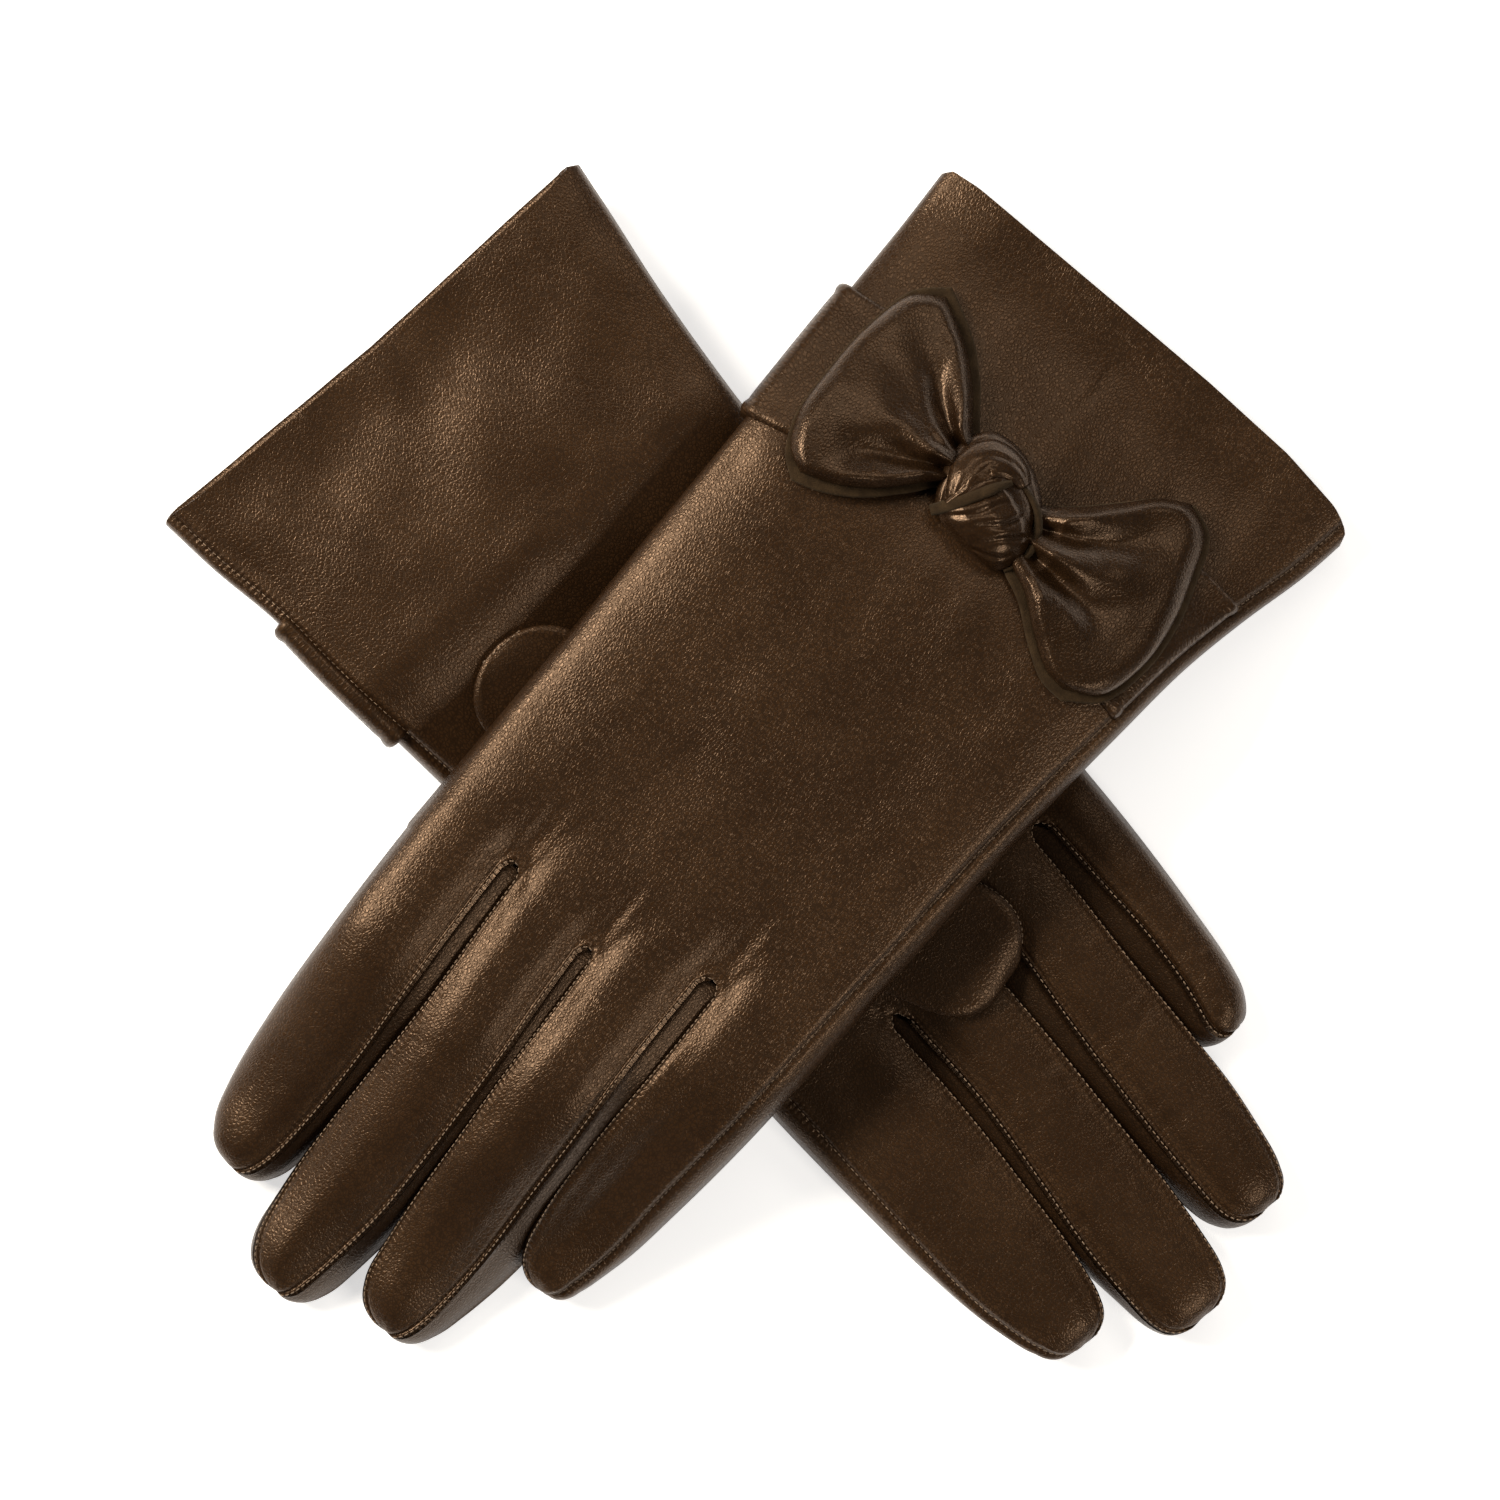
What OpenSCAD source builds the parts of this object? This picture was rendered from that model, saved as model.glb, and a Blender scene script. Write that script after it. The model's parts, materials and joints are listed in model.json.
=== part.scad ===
// A pair of ladies' leather gloves with a knotted bow at the wrist, lying crossed on a table.
// The upper glove is the left one, back up. The lower glove is the right one, palm up.
// Each glove is drawn in its own frame: +Y runs to the fingertips, +X is the thumb side.

/* [Pair] */
// Heading of the upper (left) glove, as a turn of its frame about +Z
upper_turn = 139.8; // [130:0.1:150]
// Heading of the lower (right) glove, as a turn of its frame about +Z
lower_turn = 221.3; // [212:0.1:230]
// Height at which the upper glove's palm crosses the lower glove
drape_height = 20; // [20:0.5:24]
// Height of the lower glove's wrist over the bow that it lies on
bow_lift = 9.5; // [9.5:0.1:12]
// How far the cuffs are rolled sideways as the gloves lie flat
cuff_roll = 4.5; // [0:0.5:6]

/* [Hand] */
// Where the cuff edge lies, measured from the middle of the hand
cuff_y = -113.5; // [-125:0.5:-105]
// Where the fingers part
crotch_y = 50; // [46:1:52]
// Where the index, middle and ring fingers bend
knuckle_y = 75; // [72:1:78]
// Where the little finger bends
little_knuckle_y = 69; // [66:1:70]
// Half of the thickness of the flattened hand
half_thick = 5.5; // [5:0.1:6]
// Space between two fingers
finger_gap = 1.2; // [1:0.1:1.6]
// Thickness of the leather
leather = 1; // [0.8:0.1:1.2]
// Thickness of the lining
lining_thick = 0.8; // [0.5:0.1:1]

/* [Thumb] */
// Sideways angle of the folded thumb
thumb_lean = 18; // [14:1:20]
// Length of the thumb beyond its joint
thumb_length = 81; // [76:1:83]
// Half of the width of the thumb
thumb_half_width = 12.5; // [11:0.5:13]
// Thickness of the flattened thumb
thumb_thick = 3.9; // [3.5:0.1:4]

/* [Bow] */
// Middle of the bow along the glove
bow_y = -70; // [-72:1:-68]
// Thickness of the wrist band
band_thick = 1.2; // [1:0.1:1.4]
// Height of the knot over the wrist band
knot_high = 7.2; // [6:0.2:7.2]
// Height of the bow's wings over the wrist band
wing_high = 6; // [4:0.5:6.5]

/* [Hidden] */
LEFT = 0;
RIGHT = 1;
HANDS = ["left", "right"];
FINGERS = ["little", "ring", "middle", "index"];
BACK = 1;
PALM = -1;
// The middle of the pair's box is put at the origin
PAIR_SHIFT = [-0.7, -0.3, 0];

// Edges of the flat hand as [y, x], on the little finger's side and on the thumb's side
LITTLE_EDGE = [[-114, -55.5], [-100, -54.5], [-84, -50.5], [-70, -49.3], [-40, -47.5],
    [0, -48], [40, -47.5], [75, -46.7], [90, -45.5], [107, -42]];
THUMB_EDGE = [[-114, 52.5], [-100, 52], [-84, 50.5], [-70, 49.8], [-40, 48.2],
    [0, 46], [40, 45], [75, 43.5], [90, 42.7], [130, 38]];
// Lines between the fingers as [y, x], and the fingertips
GAP_LINES = [[[45, -27.5], [107, -29.3]], [[50, -4.7], [130, -6.7]], [[50, 18.5], [130, 19.3]]];
TIP_Y = [107, 134.5, 142.5, 129.5];
TIP_ROUND = [13, 15, 16, 16];
KNUCKLE_Y = [little_knuckle_y, knuckle_y, knuckle_y, knuckle_y];
KNUCKLE_CLEARANCE = 0.4;
// Places across each finger where a panel has its points: -1 and 1 are the finger's edges
ACROSS = [[-1, -0.86, -0.5, 0.3, 1], [-1, -0.4, 0.4, 1], [-1, -0.4, 0.4, 1], [-1, -0.3, 0.5, 0.86, 1]];
COLUMNS = [for (k = [0:3]) for (v = ACROSS[k]) [k, v]];
HAND_ROWS = [cuff_y, -105, -98, -91, -84, -78, -72, -66, -60, -55, -50, -44, -38, -32, -26, -14, 0, 14, 28, 40,
    crotch_y];
ROOT_STEPS = [0.35, 0.7, 1];
TIP_STEPS = [0, 0.2, 0.4, 0.6, 0.75, 0.86, 0.94, 1];
HEM_ROWS = 3;
HEM_TO_LINING = 0.5;
SKIN_CLEARANCE = 0.25;
WALL_CLEARANCE = 0.4;
BAND_CLEARANCE = 0.4;
// Edges of the wrist band as [x, y], on the cuff's side and on the fingers' side
BAND_LOW = [[-50, -85], [-38, -86], [-12, -75], [8, -75], [34, -86], [50, -83]];
BAND_HIGH = [[-50, -52], [-38, -54], [-12, -65], [8, -66], [30, -54], [50, -50]];
// Where the upper glove leaves its plateau and where it touches the table, as [x, y]
FALL_START = [[-48, 40], [-28, 46], [-18, 68], [45, 70]];
FALL_END = [[-46, 104], [-32, 108], [-26, 128], [-14, 134], [-2, 140], [10, 142], [20, 134], [43, 122]];
THUMB_JOINT = [22, -12];
THUMB_GAP = 0.3;
THUMB_BASE_GAP = 0.5;
THUMB_SKIN = 0.8;
THUMB_ACROSS = [-1, -0.85, -0.4, 0.4, 0.85, 1];
BASE_END_Y = -51;

// Smooth step from 0 at a to 1 at b
function ease(a, b, t) = let (s = min(1, max(0, (t - a) / (b - a)))) s * s * (3 - 2 * s);

// Which way the back of the glove faces: up on the left glove, down on the right one
function back_up(hand) = hand == LEFT ? 1 : -1;

// Half thickness of the hand along the glove: thinner towards the cuff
function half_at(y) = lookup(y, [[-114, half_thick - 0.7], [-70, half_thick - 0.5],
    [-40, half_thick]]);

// Height of the underside of a glove over the table
function base_height(hand, x, y) = hand == LEFT
    ? drape_height * (0.05 + 0.95 * ease(-110, -46, y))
        * (1 - ease(lookup(x, FALL_START), lookup(x, FALL_END), y))
    : bow_lift * ease(-30, -64, y) * (1 - 0.9 * ease(-76, -108, y));

// A point of a glove: q is the distance from the middle of its thickness towards the back
function glove_point(hand, x, y, q) =
    [x, y, base_height(hand, x, y) + half_at(y) + back_up(hand) * q];

function sideways(hand, y) = (hand == LEFT ? -1 : 1) * cuff_roll * (1 - ease(-115, 20, y));
function gap_x(k, y) = lookup(y, GAP_LINES[k]);
function finger_left(hand, k, y) = k == 0
    ? lookup(y, LITTLE_EDGE) + sideways(hand, y) : gap_x(k - 1, y) + finger_gap / 2;
function finger_right(hand, k, y) = k == 3
    ? lookup(y, THUMB_EDGE) + sideways(hand, y) : gap_x(k, y) - finger_gap / 2;

// How much of its full width a finger has left near its rounded tip
function tip_width(k, y) = let (s = max(0, (y - TIP_Y[k] + TIP_ROUND[k]) / TIP_ROUND[k]))
    max(0.2, pow(max(0, 1 - pow(min(1, s), 2.4)), 1 / 2.4));

// Is this place on the outer, seamed edge of the hand?
function is_outside(k, v) = (k == 0 && v < 0) || (k == 3 && v > 0);
function edge_drop(k, v) = is_outside(k, v) ? pow(1 - pow(abs(v), 4), 1 / 3) : 1;
function side_drop(k, v, y) = is_outside(k, v) ? 1 : 1 - 0.38 * ease(38, 56, y) * pow(abs(v), 3);

// A point of finger k, v across it, offset d from the outer leather surface, on one side.
// Where shut is true it lies on the middle of the finger's thickness.
function skin_point(hand, k, v, y, d, side, shut = false) =
    let (
        narrow = tip_width(k, y),
        left = finger_left(hand, k, y),
        right = finger_right(hand, k, y),
        middle = (left + right) / 2,
        spread = (right - left) / 2 * narrow,
        outward = is_outside(k, v) ? sign(v) * d * pow(abs(v), 6) * narrow : 0,
        full = max(0, half_at(y) * pow(narrow, 0.7) * side_drop(k, v, y) + d) * edge_drop(k, v),
        rise = shut ? 0 : full
    )
    glove_point(hand, middle + spread * v + outward, y, side * rise);

// Closed solid between an outer and an inner grid of points, where keep marks the cells
module sheet(outer, inner, keep, turned) {
    rows = len(outer);
    cols = len(outer[0]);
    below = rows * cols;
    function id(i, j) = i * cols + j;
    function has(i, j) = i >= 0 && j >= 0 && i < rows - 1 && j < cols - 1 && keep[i][j];
    function quad(a, b, c, d) = [[a, b, c], [a, c, d]];
    cells = [for (i = [0:rows - 2]) for (j = [0:cols - 2]) if (keep[i][j]) [i, j]];
    faces = [for (cell = cells) let (
            i = cell[0], j = cell[1],
            a = id(i, j), b = id(i + 1, j), c = id(i + 1, j + 1), d = id(i, j + 1))
        each concat(
            quad(a, b, c, d),
            [[c + below, b + below, a + below], [d + below, c + below, a + below]],
            has(i, j - 1) ? [] : quad(a, a + below, b + below, b),
            has(i + 1, j) ? [] : quad(b, b + below, c + below, c),
            has(i, j + 1) ? [] : quad(c, c + below, d + below, d),
            has(i - 1, j) ? [] : quad(d, d + below, a + below, a))];
    polyhedron(
        points = concat([for (row = outer) each row], [for (row = inner) each row]),
        faces = turned ? [for (f = faces) [f[2], f[1], f[0]]] : faces);
}

function all_cells(rows, cols) = [for (i = [0:rows - 2]) [for (j = [0:cols - 2]) true]];

// Closed tube wall between an outer and an inner stack of loops
module sleeve(outer, inner, turned) {
    rows = len(outer);
    cols = len(outer[0]);
    below = rows * cols;
    function id(i, j) = i * cols + j % cols;
    faces = [for (i = [0:rows - 2]) for (j = [0:cols - 1]) let (
            a = id(i, j), b = id(i + 1, j), c = id(i + 1, j + 1), d = id(i, j + 1))
        each concat(
            [[a, b, c], [a, c, d], [c + below, b + below, a + below], [d + below, c + below, a + below]],
            i == 0 ? [[d, d + below, a + below], [d, a + below, a]] : [],
            i == rows - 2 ? [[b, b + below, c + below], [b, c + below, c]] : [])];
    polyhedron(
        points = concat([for (row = outer) each row], [for (row = inner) each row]),
        faces = turned ? [for (f = faces) [f[2], f[1], f[0]]] : faces);
}

module placed(hand) {
    translate(PAIR_SHIFT) rotate([0, 0, hand == LEFT ? upper_turn : lower_turn]) children();
}

// One hand panel with the roots of its four fingers
module hand_panel(hand, side) {
    root_rows = len(ROOT_STEPS);
    hand_rows = len(HAND_ROWS);
    function row_y(i, k) = i < hand_rows ? HAND_ROWS[i]
        : crotch_y + (KNUCKLE_Y[k] - KNUCKLE_CLEARANCE - crotch_y) * ROOT_STEPS[i - hand_rows];
    function grid(d) = [for (i = [0:hand_rows + root_rows - 1])
        [for (c = COLUMNS) skin_point(hand, c[0], c[1], row_y(i, c[0]), d, side)]];
    keep = [for (i = [0:hand_rows + root_rows - 2]) [for (j = [0:len(COLUMNS) - 2])
        i < hand_rows - 1 || COLUMNS[j][0] == COLUMNS[j + 1][0]]];
    placed(hand) sheet(grid(0), grid(-leather), keep, side * back_up(hand) < 0);
}

// A loop round the hand at one y, offset d from the outer surface
function hand_loop(hand, y, d) = concat(
    [for (c = COLUMNS) skin_point(hand, c[0], c[1], y, d, BACK)],
    [for (j = [len(COLUMNS) - 2:-1:1]) skin_point(hand, COLUMNS[j][0], COLUMNS[j][1], y, d, PALM)]);

// A thin tube inside the leather, through the given rows
module inner_sleeve(hand, rows, thick, d) {
    placed(hand) sleeve([for (y = rows) hand_loop(hand, y, d)],
        [for (y = rows) hand_loop(hand, y, d - thick)], back_up(hand) < 0);
}

module lining(hand) {
    rows = [for (i = [HEM_ROWS:len(HAND_ROWS) - 2]) HAND_ROWS[i]];
    start = HAND_ROWS[HEM_ROWS - 1] + HEM_TO_LINING;
    inner_sleeve(hand, concat([start], rows), lining_thick, -leather - SKIN_CLEARANCE);
}

module cuff_facing(hand) {
    rows = [for (i = [0:HEM_ROWS - 1]) HAND_ROWS[i]];
    inner_sleeve(hand, rows, lining_thick, -leather - 0.05);
}

// The band lies on the back and wraps round the thumb's edge as far as the side seam. It narrows to the knot
module wrist_band(hand) {
    columns = [for (j = [1:len(COLUMNS) - 1]) COLUMNS[j]];
    function spot(c, t, d) = let (x = skin_point(hand, c[0], c[1], bow_y, 0, BACK)[0],
            low = lookup(x, BAND_LOW), high = lookup(x, BAND_HIGH))
        skin_point(hand, c[0], c[1], low + (high - low) * t, d, BACK);
    function grid(d) = [for (t = [0:0.125:1]) [for (c = columns) spot(c, t, d)]];
    placed(hand) sheet(grid(BAND_CLEARANCE + band_thick), grid(BAND_CLEARANCE), all_cells(9, len(columns)),
        back_up(hand) < 0);
}

// Puffed solid that stands on the band: width and height are fractions along and across it
module puff(hand, plan, rise, steps) {
    foot = BAND_CLEARANCE + band_thick + 0.3;
    function grid(upper) = [for (s = steps) [for (c = [-1:0.25:1]) let (
            p = plan(s, c), q = half_at(p[1]) + foot + (upper ? 0.8 + rise(s, c) : 0))
        glove_point(hand, p[0], p[1], q)]];
    turned = plan(1, 0)[0] < plan(0, 0)[0];
    placed(hand) sheet(grid(true), grid(false), all_cells(len(steps), 9),
        turned == (back_up(hand) > 0));
}

module bow_wing(hand, way) {
    root_x = way < 0 ? -11.6 : 8.6;
    end_x = way < 0 ? -45 : 38.5;
    plan = function (s, c) [
        root_x + (end_x - root_x) * s * (1 - 0.13 * s * c * c),
        bow_y + 2 - 3.5 * s + c * lookup(s, [[0, 6.5], [0.35, 13], [0.65, 20], [0.85, 22.5], [1, 19]])];
    rise = function (s, c) (wing_high - 0.8) * lookup(s, [[0, 0.75], [0.3, 1], [0.7, 0.85], [1, 0.3]])
        * sqrt(1 - c * c * 0.96);
    puff(hand, plan, rise, [0, 0.15, 0.3, 0.5, 0.65, 0.8, 0.9, 1]);
}

module bow_knot(hand) {
    plan = function (s, c) [-11.3 + 19.6 * s, bow_y + c * (6.5 + 3 * sin(180 * s))];
    rise = function (s, c) (knot_high - 0.8) * (0.72 + 0.28 * sin(180 * s)) * sqrt(1 - c * c * 0.94);
    puff(hand, plan, rise, [for (i = [0:8]) i / 8]);
}

// Point of the thumb: s along it and c across it from its joint, h out from the palm
function thumb_point(hand, s, c, h) =
    let (
        x = THUMB_JOINT[0] - s * sin(thumb_lean) + c * cos(thumb_lean),
        y = THUMB_JOINT[1] + s * cos(thumb_lean) + c * sin(thumb_lean)
    )
    glove_point(hand, x, y, -half_thick - THUMB_GAP - h);

function thumb_half(s) = s < 0 ? sqrt(max(3, pow(thumb_half_width, 2) - s * s))
    : thumb_half_width * max(0.25, sqrt(max(0, 1 - pow(max(0, (s - thumb_length + 17) / 17), 2))));

// One face of the flattened thumb: side 1 is the outer face, -1 lies on the palm
module thumb_face(hand, side) {
    rear = [-thumb_half_width, -0.9 * thumb_half_width, -0.6 * thumb_half_width];
    front = [for (t = [0, 0.2, 0.4, 0.6, 0.75, 0.85, 0.93, 0.98, 1]) t * thumb_length];
    rows = concat(rear, front);
    last = len(rows) - 1;
    middle = thumb_thick / 2;
    function grid(d) = [for (i = [0:last]) [for (v = THUMB_ACROSS) let (
            inset = d * pow(abs(v), 4) * sign(v),
            high = d < 0 && (i == 0 || i == last) ? 0 : (middle + d) * pow(1 - pow(abs(v), 6), 0.5))
        thumb_point(hand, rows[i], thumb_half(rows[i]) * v + inset, middle + side * high)]];
    placed(hand) sheet(grid(0), grid(-THUMB_SKIN), all_cells(last + 1, len(THUMB_ACROSS)),
        side * back_up(hand) > 0);
}

// The thumb's root, sewn into the palm behind the joint
module thumb_base(hand) {
    seat = thumb_half_width + 0.5;
    function reach(a) = seat + (THUMB_JOINT[1] - BASE_END_Y - seat) * pow(cos(a * 1.2), 0.6);
    function spot(a, f, h) = let (r = seat + (reach(a) - seat) * f)
        let (x = THUMB_JOINT[0] + r * sin(a) * (1 - 0.25 * f), y = THUMB_JOINT[1] - r * cos(a))
        glove_point(hand, x, y, -half_at(y) - THUMB_BASE_GAP - h);
    function grid(top) = [for (a = [-42:12:42]) [for (f = [0:0.25:1])
        spot(a, f, top ? 0.8 + (thumb_thick - 0.8) * pow(1 - f, 1.3) : 0)]];
    placed(hand) sheet(grid(true), grid(false), all_cells(8, 5), back_up(hand) > 0);
}

// The strip that joins two neighbouring fingers, folded round the crotch between them
module fourchette(hand, k) {
    steps = [1, 0.66, 0.33];
    function end_y(f) = KNUCKLE_Y[f] - KNUCKLE_CLEARANCE;
    path = concat(
        [for (t = steps) [k, 1, crotch_y + (end_y(k) - crotch_y) * t]],
        [[k, 1, crotch_y], [k + 1, -1, crotch_y]],
        [for (t = [0.33, 0.66, 1]) [k + 1, -1, crotch_y + (end_y(k + 1) - crotch_y) * t]]);
    // The wall lies inside the finger's edge, and behind the crotch where it crosses the gap
    function spot(p, depth, way) = let (
            edge = skin_point(hand, p[0], p[1], p[2], -leather - WALL_CLEARANCE, way),
            back_off = p[2] == crotch_y ? 1 : 0)
        [edge[0] - p[1] * depth, edge[1] - depth * back_off, edge[2]];
    function grid(depth) = [for (p = path) [spot(p, depth, PALM), spot(p, depth, BACK)]];
    placed(hand) sheet(grid(0), grid(leather), all_cells(len(path), 2), back_up(hand) > 0);
}

// Rows of points along a fingertip
function tip_rows(k) = [for (t = TIP_STEPS) KNUCKLE_Y[k] + (TIP_Y[k] - KNUCKLE_Y[k]) * t];

// Outer half of a fingertip, closed at its end
module tip_panel(hand, k, side) {
    rows = tip_rows(k);
    last = len(rows) - 1;
    function grid(d) = [for (i = [0:last]) let (shut = i == last && d < 0) [for (v = ACROSS[k])
        skin_point(hand, k, v, rows[i] - (shut ? leather : 0), d, side, shut)]];
    placed(hand) sheet(grid(0), grid(-leather), all_cells(last + 1, len(ACROSS[k])),
        side * back_up(hand) < 0);
}

// Side walls of a fingertip, on the sides that face another finger
module tip_sides(hand, k) {
    rows = [for (i = [0:5]) tip_rows(k)[i]];
    module wall(v) {
        function spot(y, depth, way) = let (edge = skin_point(hand, k, v, y, -leather - WALL_CLEARANCE, way))
            [edge[0] - v * depth, edge[1], edge[2]];
        function grid(depth) = [for (y = rows) [spot(y, depth, PALM), spot(y, depth, BACK)]];
        sheet(grid(0), grid(leather), all_cells(len(rows), 2), v * back_up(hand) < 0);
    }
    placed(hand) {
        if (k > 0) wall(-1);
        if (k < 3) wall(1);
    }
}

module back_panel(hand) { color([0.24, 0.16, 0.11]) hand_panel(hand, BACK); }
module palm_panel(hand) { color([0.26, 0.18, 0.12]) hand_panel(hand, PALM); }
module glove_lining(hand) { color([0.16, 0.12, 0.1]) lining(hand); }
module facing(hand) { color([0.3, 0.22, 0.15]) cuff_facing(hand); }
module band(hand) { color([0.28, 0.2, 0.14]) wrist_band(hand); }
module wing(hand, way) { color([0.27, 0.19, 0.13]) bow_wing(hand, way); }
module knot(hand) { color([0.34, 0.26, 0.18]) bow_knot(hand); }
module thumb_root(hand) { color([0.25, 0.17, 0.12]) thumb_base(hand); }
module thumb_skin(hand, side) { color([0.27, 0.18, 0.12]) thumb_face(hand, side); }
module finger_strip(hand, k) { color([0.2, 0.13, 0.09]) fourchette(hand, k); }
module fingertip(hand, k, side) { color([0.25, 0.17, 0.11]) tip_panel(hand, k, side); }
module fingertip_sides(hand, k) { color([0.2, 0.13, 0.09]) tip_sides(hand, k); }

for (hand = [LEFT, RIGHT]) {
    name = HANDS[hand];
    back_panel(hand);
    palm_panel(hand);
    glove_lining(hand);
    facing(hand);
    band(hand);
    wing(hand, -1);
    wing(hand, 1);
    knot(hand);
    thumb_root(hand);
    thumb_skin(hand, 1);
    thumb_skin(hand, -1);
    for (k = [0:2]) {
        finger_strip(hand, k);
    }
    for (k = [0:3]) {
        sides = k == 0 || k == 3 ? "_tip_side" : "_tip_sides";
        fingertip(hand, k, BACK);
        fingertip(hand, k, PALM);
        fingertip_sides(hand, k);
    }
}
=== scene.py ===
"""A pair of ladies' dark brown leather gloves with a knotted bow, lying crossed on a table.

Each glove is drawn in its own frame, in millimetres: +y runs to the fingertips, +x is the thumb side
and q is the distance from the middle of the glove's thickness towards the back of the hand. The frame's
finger and thumb joints say where each glove lies.
"""
import json
import math

import bpy
import numpy as np
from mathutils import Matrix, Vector

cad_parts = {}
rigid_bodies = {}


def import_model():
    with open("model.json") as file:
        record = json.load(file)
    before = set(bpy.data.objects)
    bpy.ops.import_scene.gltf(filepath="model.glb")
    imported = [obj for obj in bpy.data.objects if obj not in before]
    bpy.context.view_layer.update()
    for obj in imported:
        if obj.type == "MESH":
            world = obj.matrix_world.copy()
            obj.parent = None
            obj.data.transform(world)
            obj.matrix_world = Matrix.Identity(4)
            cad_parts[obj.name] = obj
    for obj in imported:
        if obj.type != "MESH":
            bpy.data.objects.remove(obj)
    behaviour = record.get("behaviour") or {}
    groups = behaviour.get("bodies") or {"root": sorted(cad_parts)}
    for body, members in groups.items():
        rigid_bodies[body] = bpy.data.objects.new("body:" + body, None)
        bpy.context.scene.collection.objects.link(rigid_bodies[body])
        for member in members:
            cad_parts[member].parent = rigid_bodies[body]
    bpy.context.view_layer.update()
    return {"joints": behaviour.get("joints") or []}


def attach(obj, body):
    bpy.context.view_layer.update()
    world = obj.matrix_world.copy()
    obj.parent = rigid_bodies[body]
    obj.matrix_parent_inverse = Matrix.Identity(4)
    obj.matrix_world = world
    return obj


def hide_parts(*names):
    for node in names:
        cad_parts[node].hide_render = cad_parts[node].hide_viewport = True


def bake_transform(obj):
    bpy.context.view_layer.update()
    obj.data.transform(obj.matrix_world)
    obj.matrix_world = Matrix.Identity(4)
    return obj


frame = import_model()
MM = 0.001
FINGERS = ["little", "ring", "middle", "index"]
HANDS = ["left", "right"]
BACK, PALM = 1, -1

# The pair, as the CAD model has it
DRAPE_HEIGHT = 20.0
BOW_LIFT = 9.5
THUMB_JOINT = (22.0, -12.0)
THUMB_GAP = 0.3
LEATHER = 0.75
# Lowest that the skin and the bow come over the table
FLOOR_GAP = 0.25
BOW_FLOOR_GAP = 0.2
# Distance from a seam at which its marks on the leather have ended
SEAM_FAR = 9.0

# ---------------- small maths


def table(points):
    """A smooth function through the given (place, value) points."""
    xs = np.array([p[0] for p in points], float)
    ys = np.array([p[1] for p in points], float)
    slopes = np.gradient(ys, xs)

    def value(t):
        t = np.clip(np.asarray(t, float), xs[0], xs[-1])
        i = np.clip(np.searchsorted(xs, t, side="right") - 1, 0, len(xs) - 2)
        h = xs[i + 1] - xs[i]
        s = (t - xs[i]) / h
        return ((2 * s**3 - 3 * s**2 + 1) * ys[i] + (s**3 - 2 * s**2 + s) * h * slopes[i]
                + (3 * s**2 - 2 * s**3) * ys[i + 1] + (s**3 - s**2) * h * slopes[i + 1])

    return value


def ease(a, b, t):
    """Smooth step from 0 at a to 1 at b."""
    s = np.clip((np.asarray(t, float) - a) / (b - a), 0, 1)
    return s * s * (3 - 2 * s)


def mix(a, b, t):
    return a * (1 - t) + b * t


def bell(x, width):
    return np.exp(-((x / width) ** 2))


def round_edge(d, radius, power=2.3):
    """0 at an edge, rising to 1 at radius in from it, as a rolled edge does."""
    s = np.clip(np.asarray(d, float) / radius, 0, 1)
    return (1 - (1 - s) ** power) ** (1 / power)


def hashed(ix, iy, seed):
    """A repeatable number from 0 to 1 for each pair of whole numbers."""
    h = np.sin(ix * 127.1 + iy * 311.7 + seed * 74.7) * 43758.5453
    return h - np.floor(h)


def noise(x, y, seed):
    """Smooth noise from -1 to 1 over the plane, with cells of size 1."""
    ix, iy = np.floor(x), np.floor(y)
    fx, fy = x - ix, y - iy
    fx, fy = fx * fx * (3 - 2 * fx), fy * fy * (3 - 2 * fy)
    low = mix(hashed(ix, iy, seed), hashed(ix + 1, iy, seed), fx)
    high = mix(hashed(ix, iy + 1, seed), hashed(ix + 1, iy + 1, seed), fx)
    return 2 * mix(low, high, fy) - 1


def rough_noise(x, y, seed, octaves=3):
    total = 0
    for o in range(octaves):
        turn = 0.6 * (o + 1)
        u = x * math.cos(turn) - y * math.sin(turn)
        v = x * math.sin(turn) + y * math.cos(turn)
        total = total + noise(u * 2**o + 17 * o, v * 2**o, seed + o) / 2**o
    return total


def unit(v):
    return v / np.maximum(np.linalg.norm(v, axis=-1, keepdims=True), 1e-12)


# ---------------- where the gloves lie


def joint(name):
    return next(j for j in frame["joints"] if j["name"] == name)


def glove_axes(hand):
    """Origin (in mm), x axis and y axis of a glove's own frame, from its joints."""
    along_x = np.array(joint(f"{hand}_index_bend")["axis"], float)
    along_y = np.cross([0, 0, 1], along_x)
    thumb = np.array(joint(f"{hand}_thumb_swing")["pos_m"], float) / MM
    origin = thumb - THUMB_JOINT[0] * along_x - THUMB_JOINT[1] * along_y
    origin[2] = 0
    return origin, along_x, along_y


AXES = {hand: glove_axes(hand) for hand in HANDS}
FALL_START = [(-48, 40), (-28, 46), (-18, 68), (45, 70)]
FALL_END = [(-46, 104), (-32, 108), (-26, 128), (-14, 134), (-2, 140), (10, 142), (20, 134), (43, 122)]


def along(points, t):
    return np.interp(t, [p[0] for p in points], [p[1] for p in points])


def half_at(y):
    """Half thickness of the flattened hand."""
    return np.interp(y, [-114, -70, -40], [4.6, 5.0, 5.5])


def base_height(hand, x, y):
    """Height of a glove's underside: the upper glove is draped, the lower one lies on its bow."""
    if hand == "left":
        rise = 0.05 + 0.95 * ease(-110, -46, y)
        start, end = along(FALL_START, x), along(FALL_END, x)
        return DRAPE_HEIGHT * rise * (1 - ease(0, 1, (y - start) / (end - start)))
    return BOW_LIFT * ease(-30, -64, y) * (1 - 0.2 * ease(-72, -113, y))


def back_up(hand):
    return 1 if hand == "left" else -1


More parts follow.
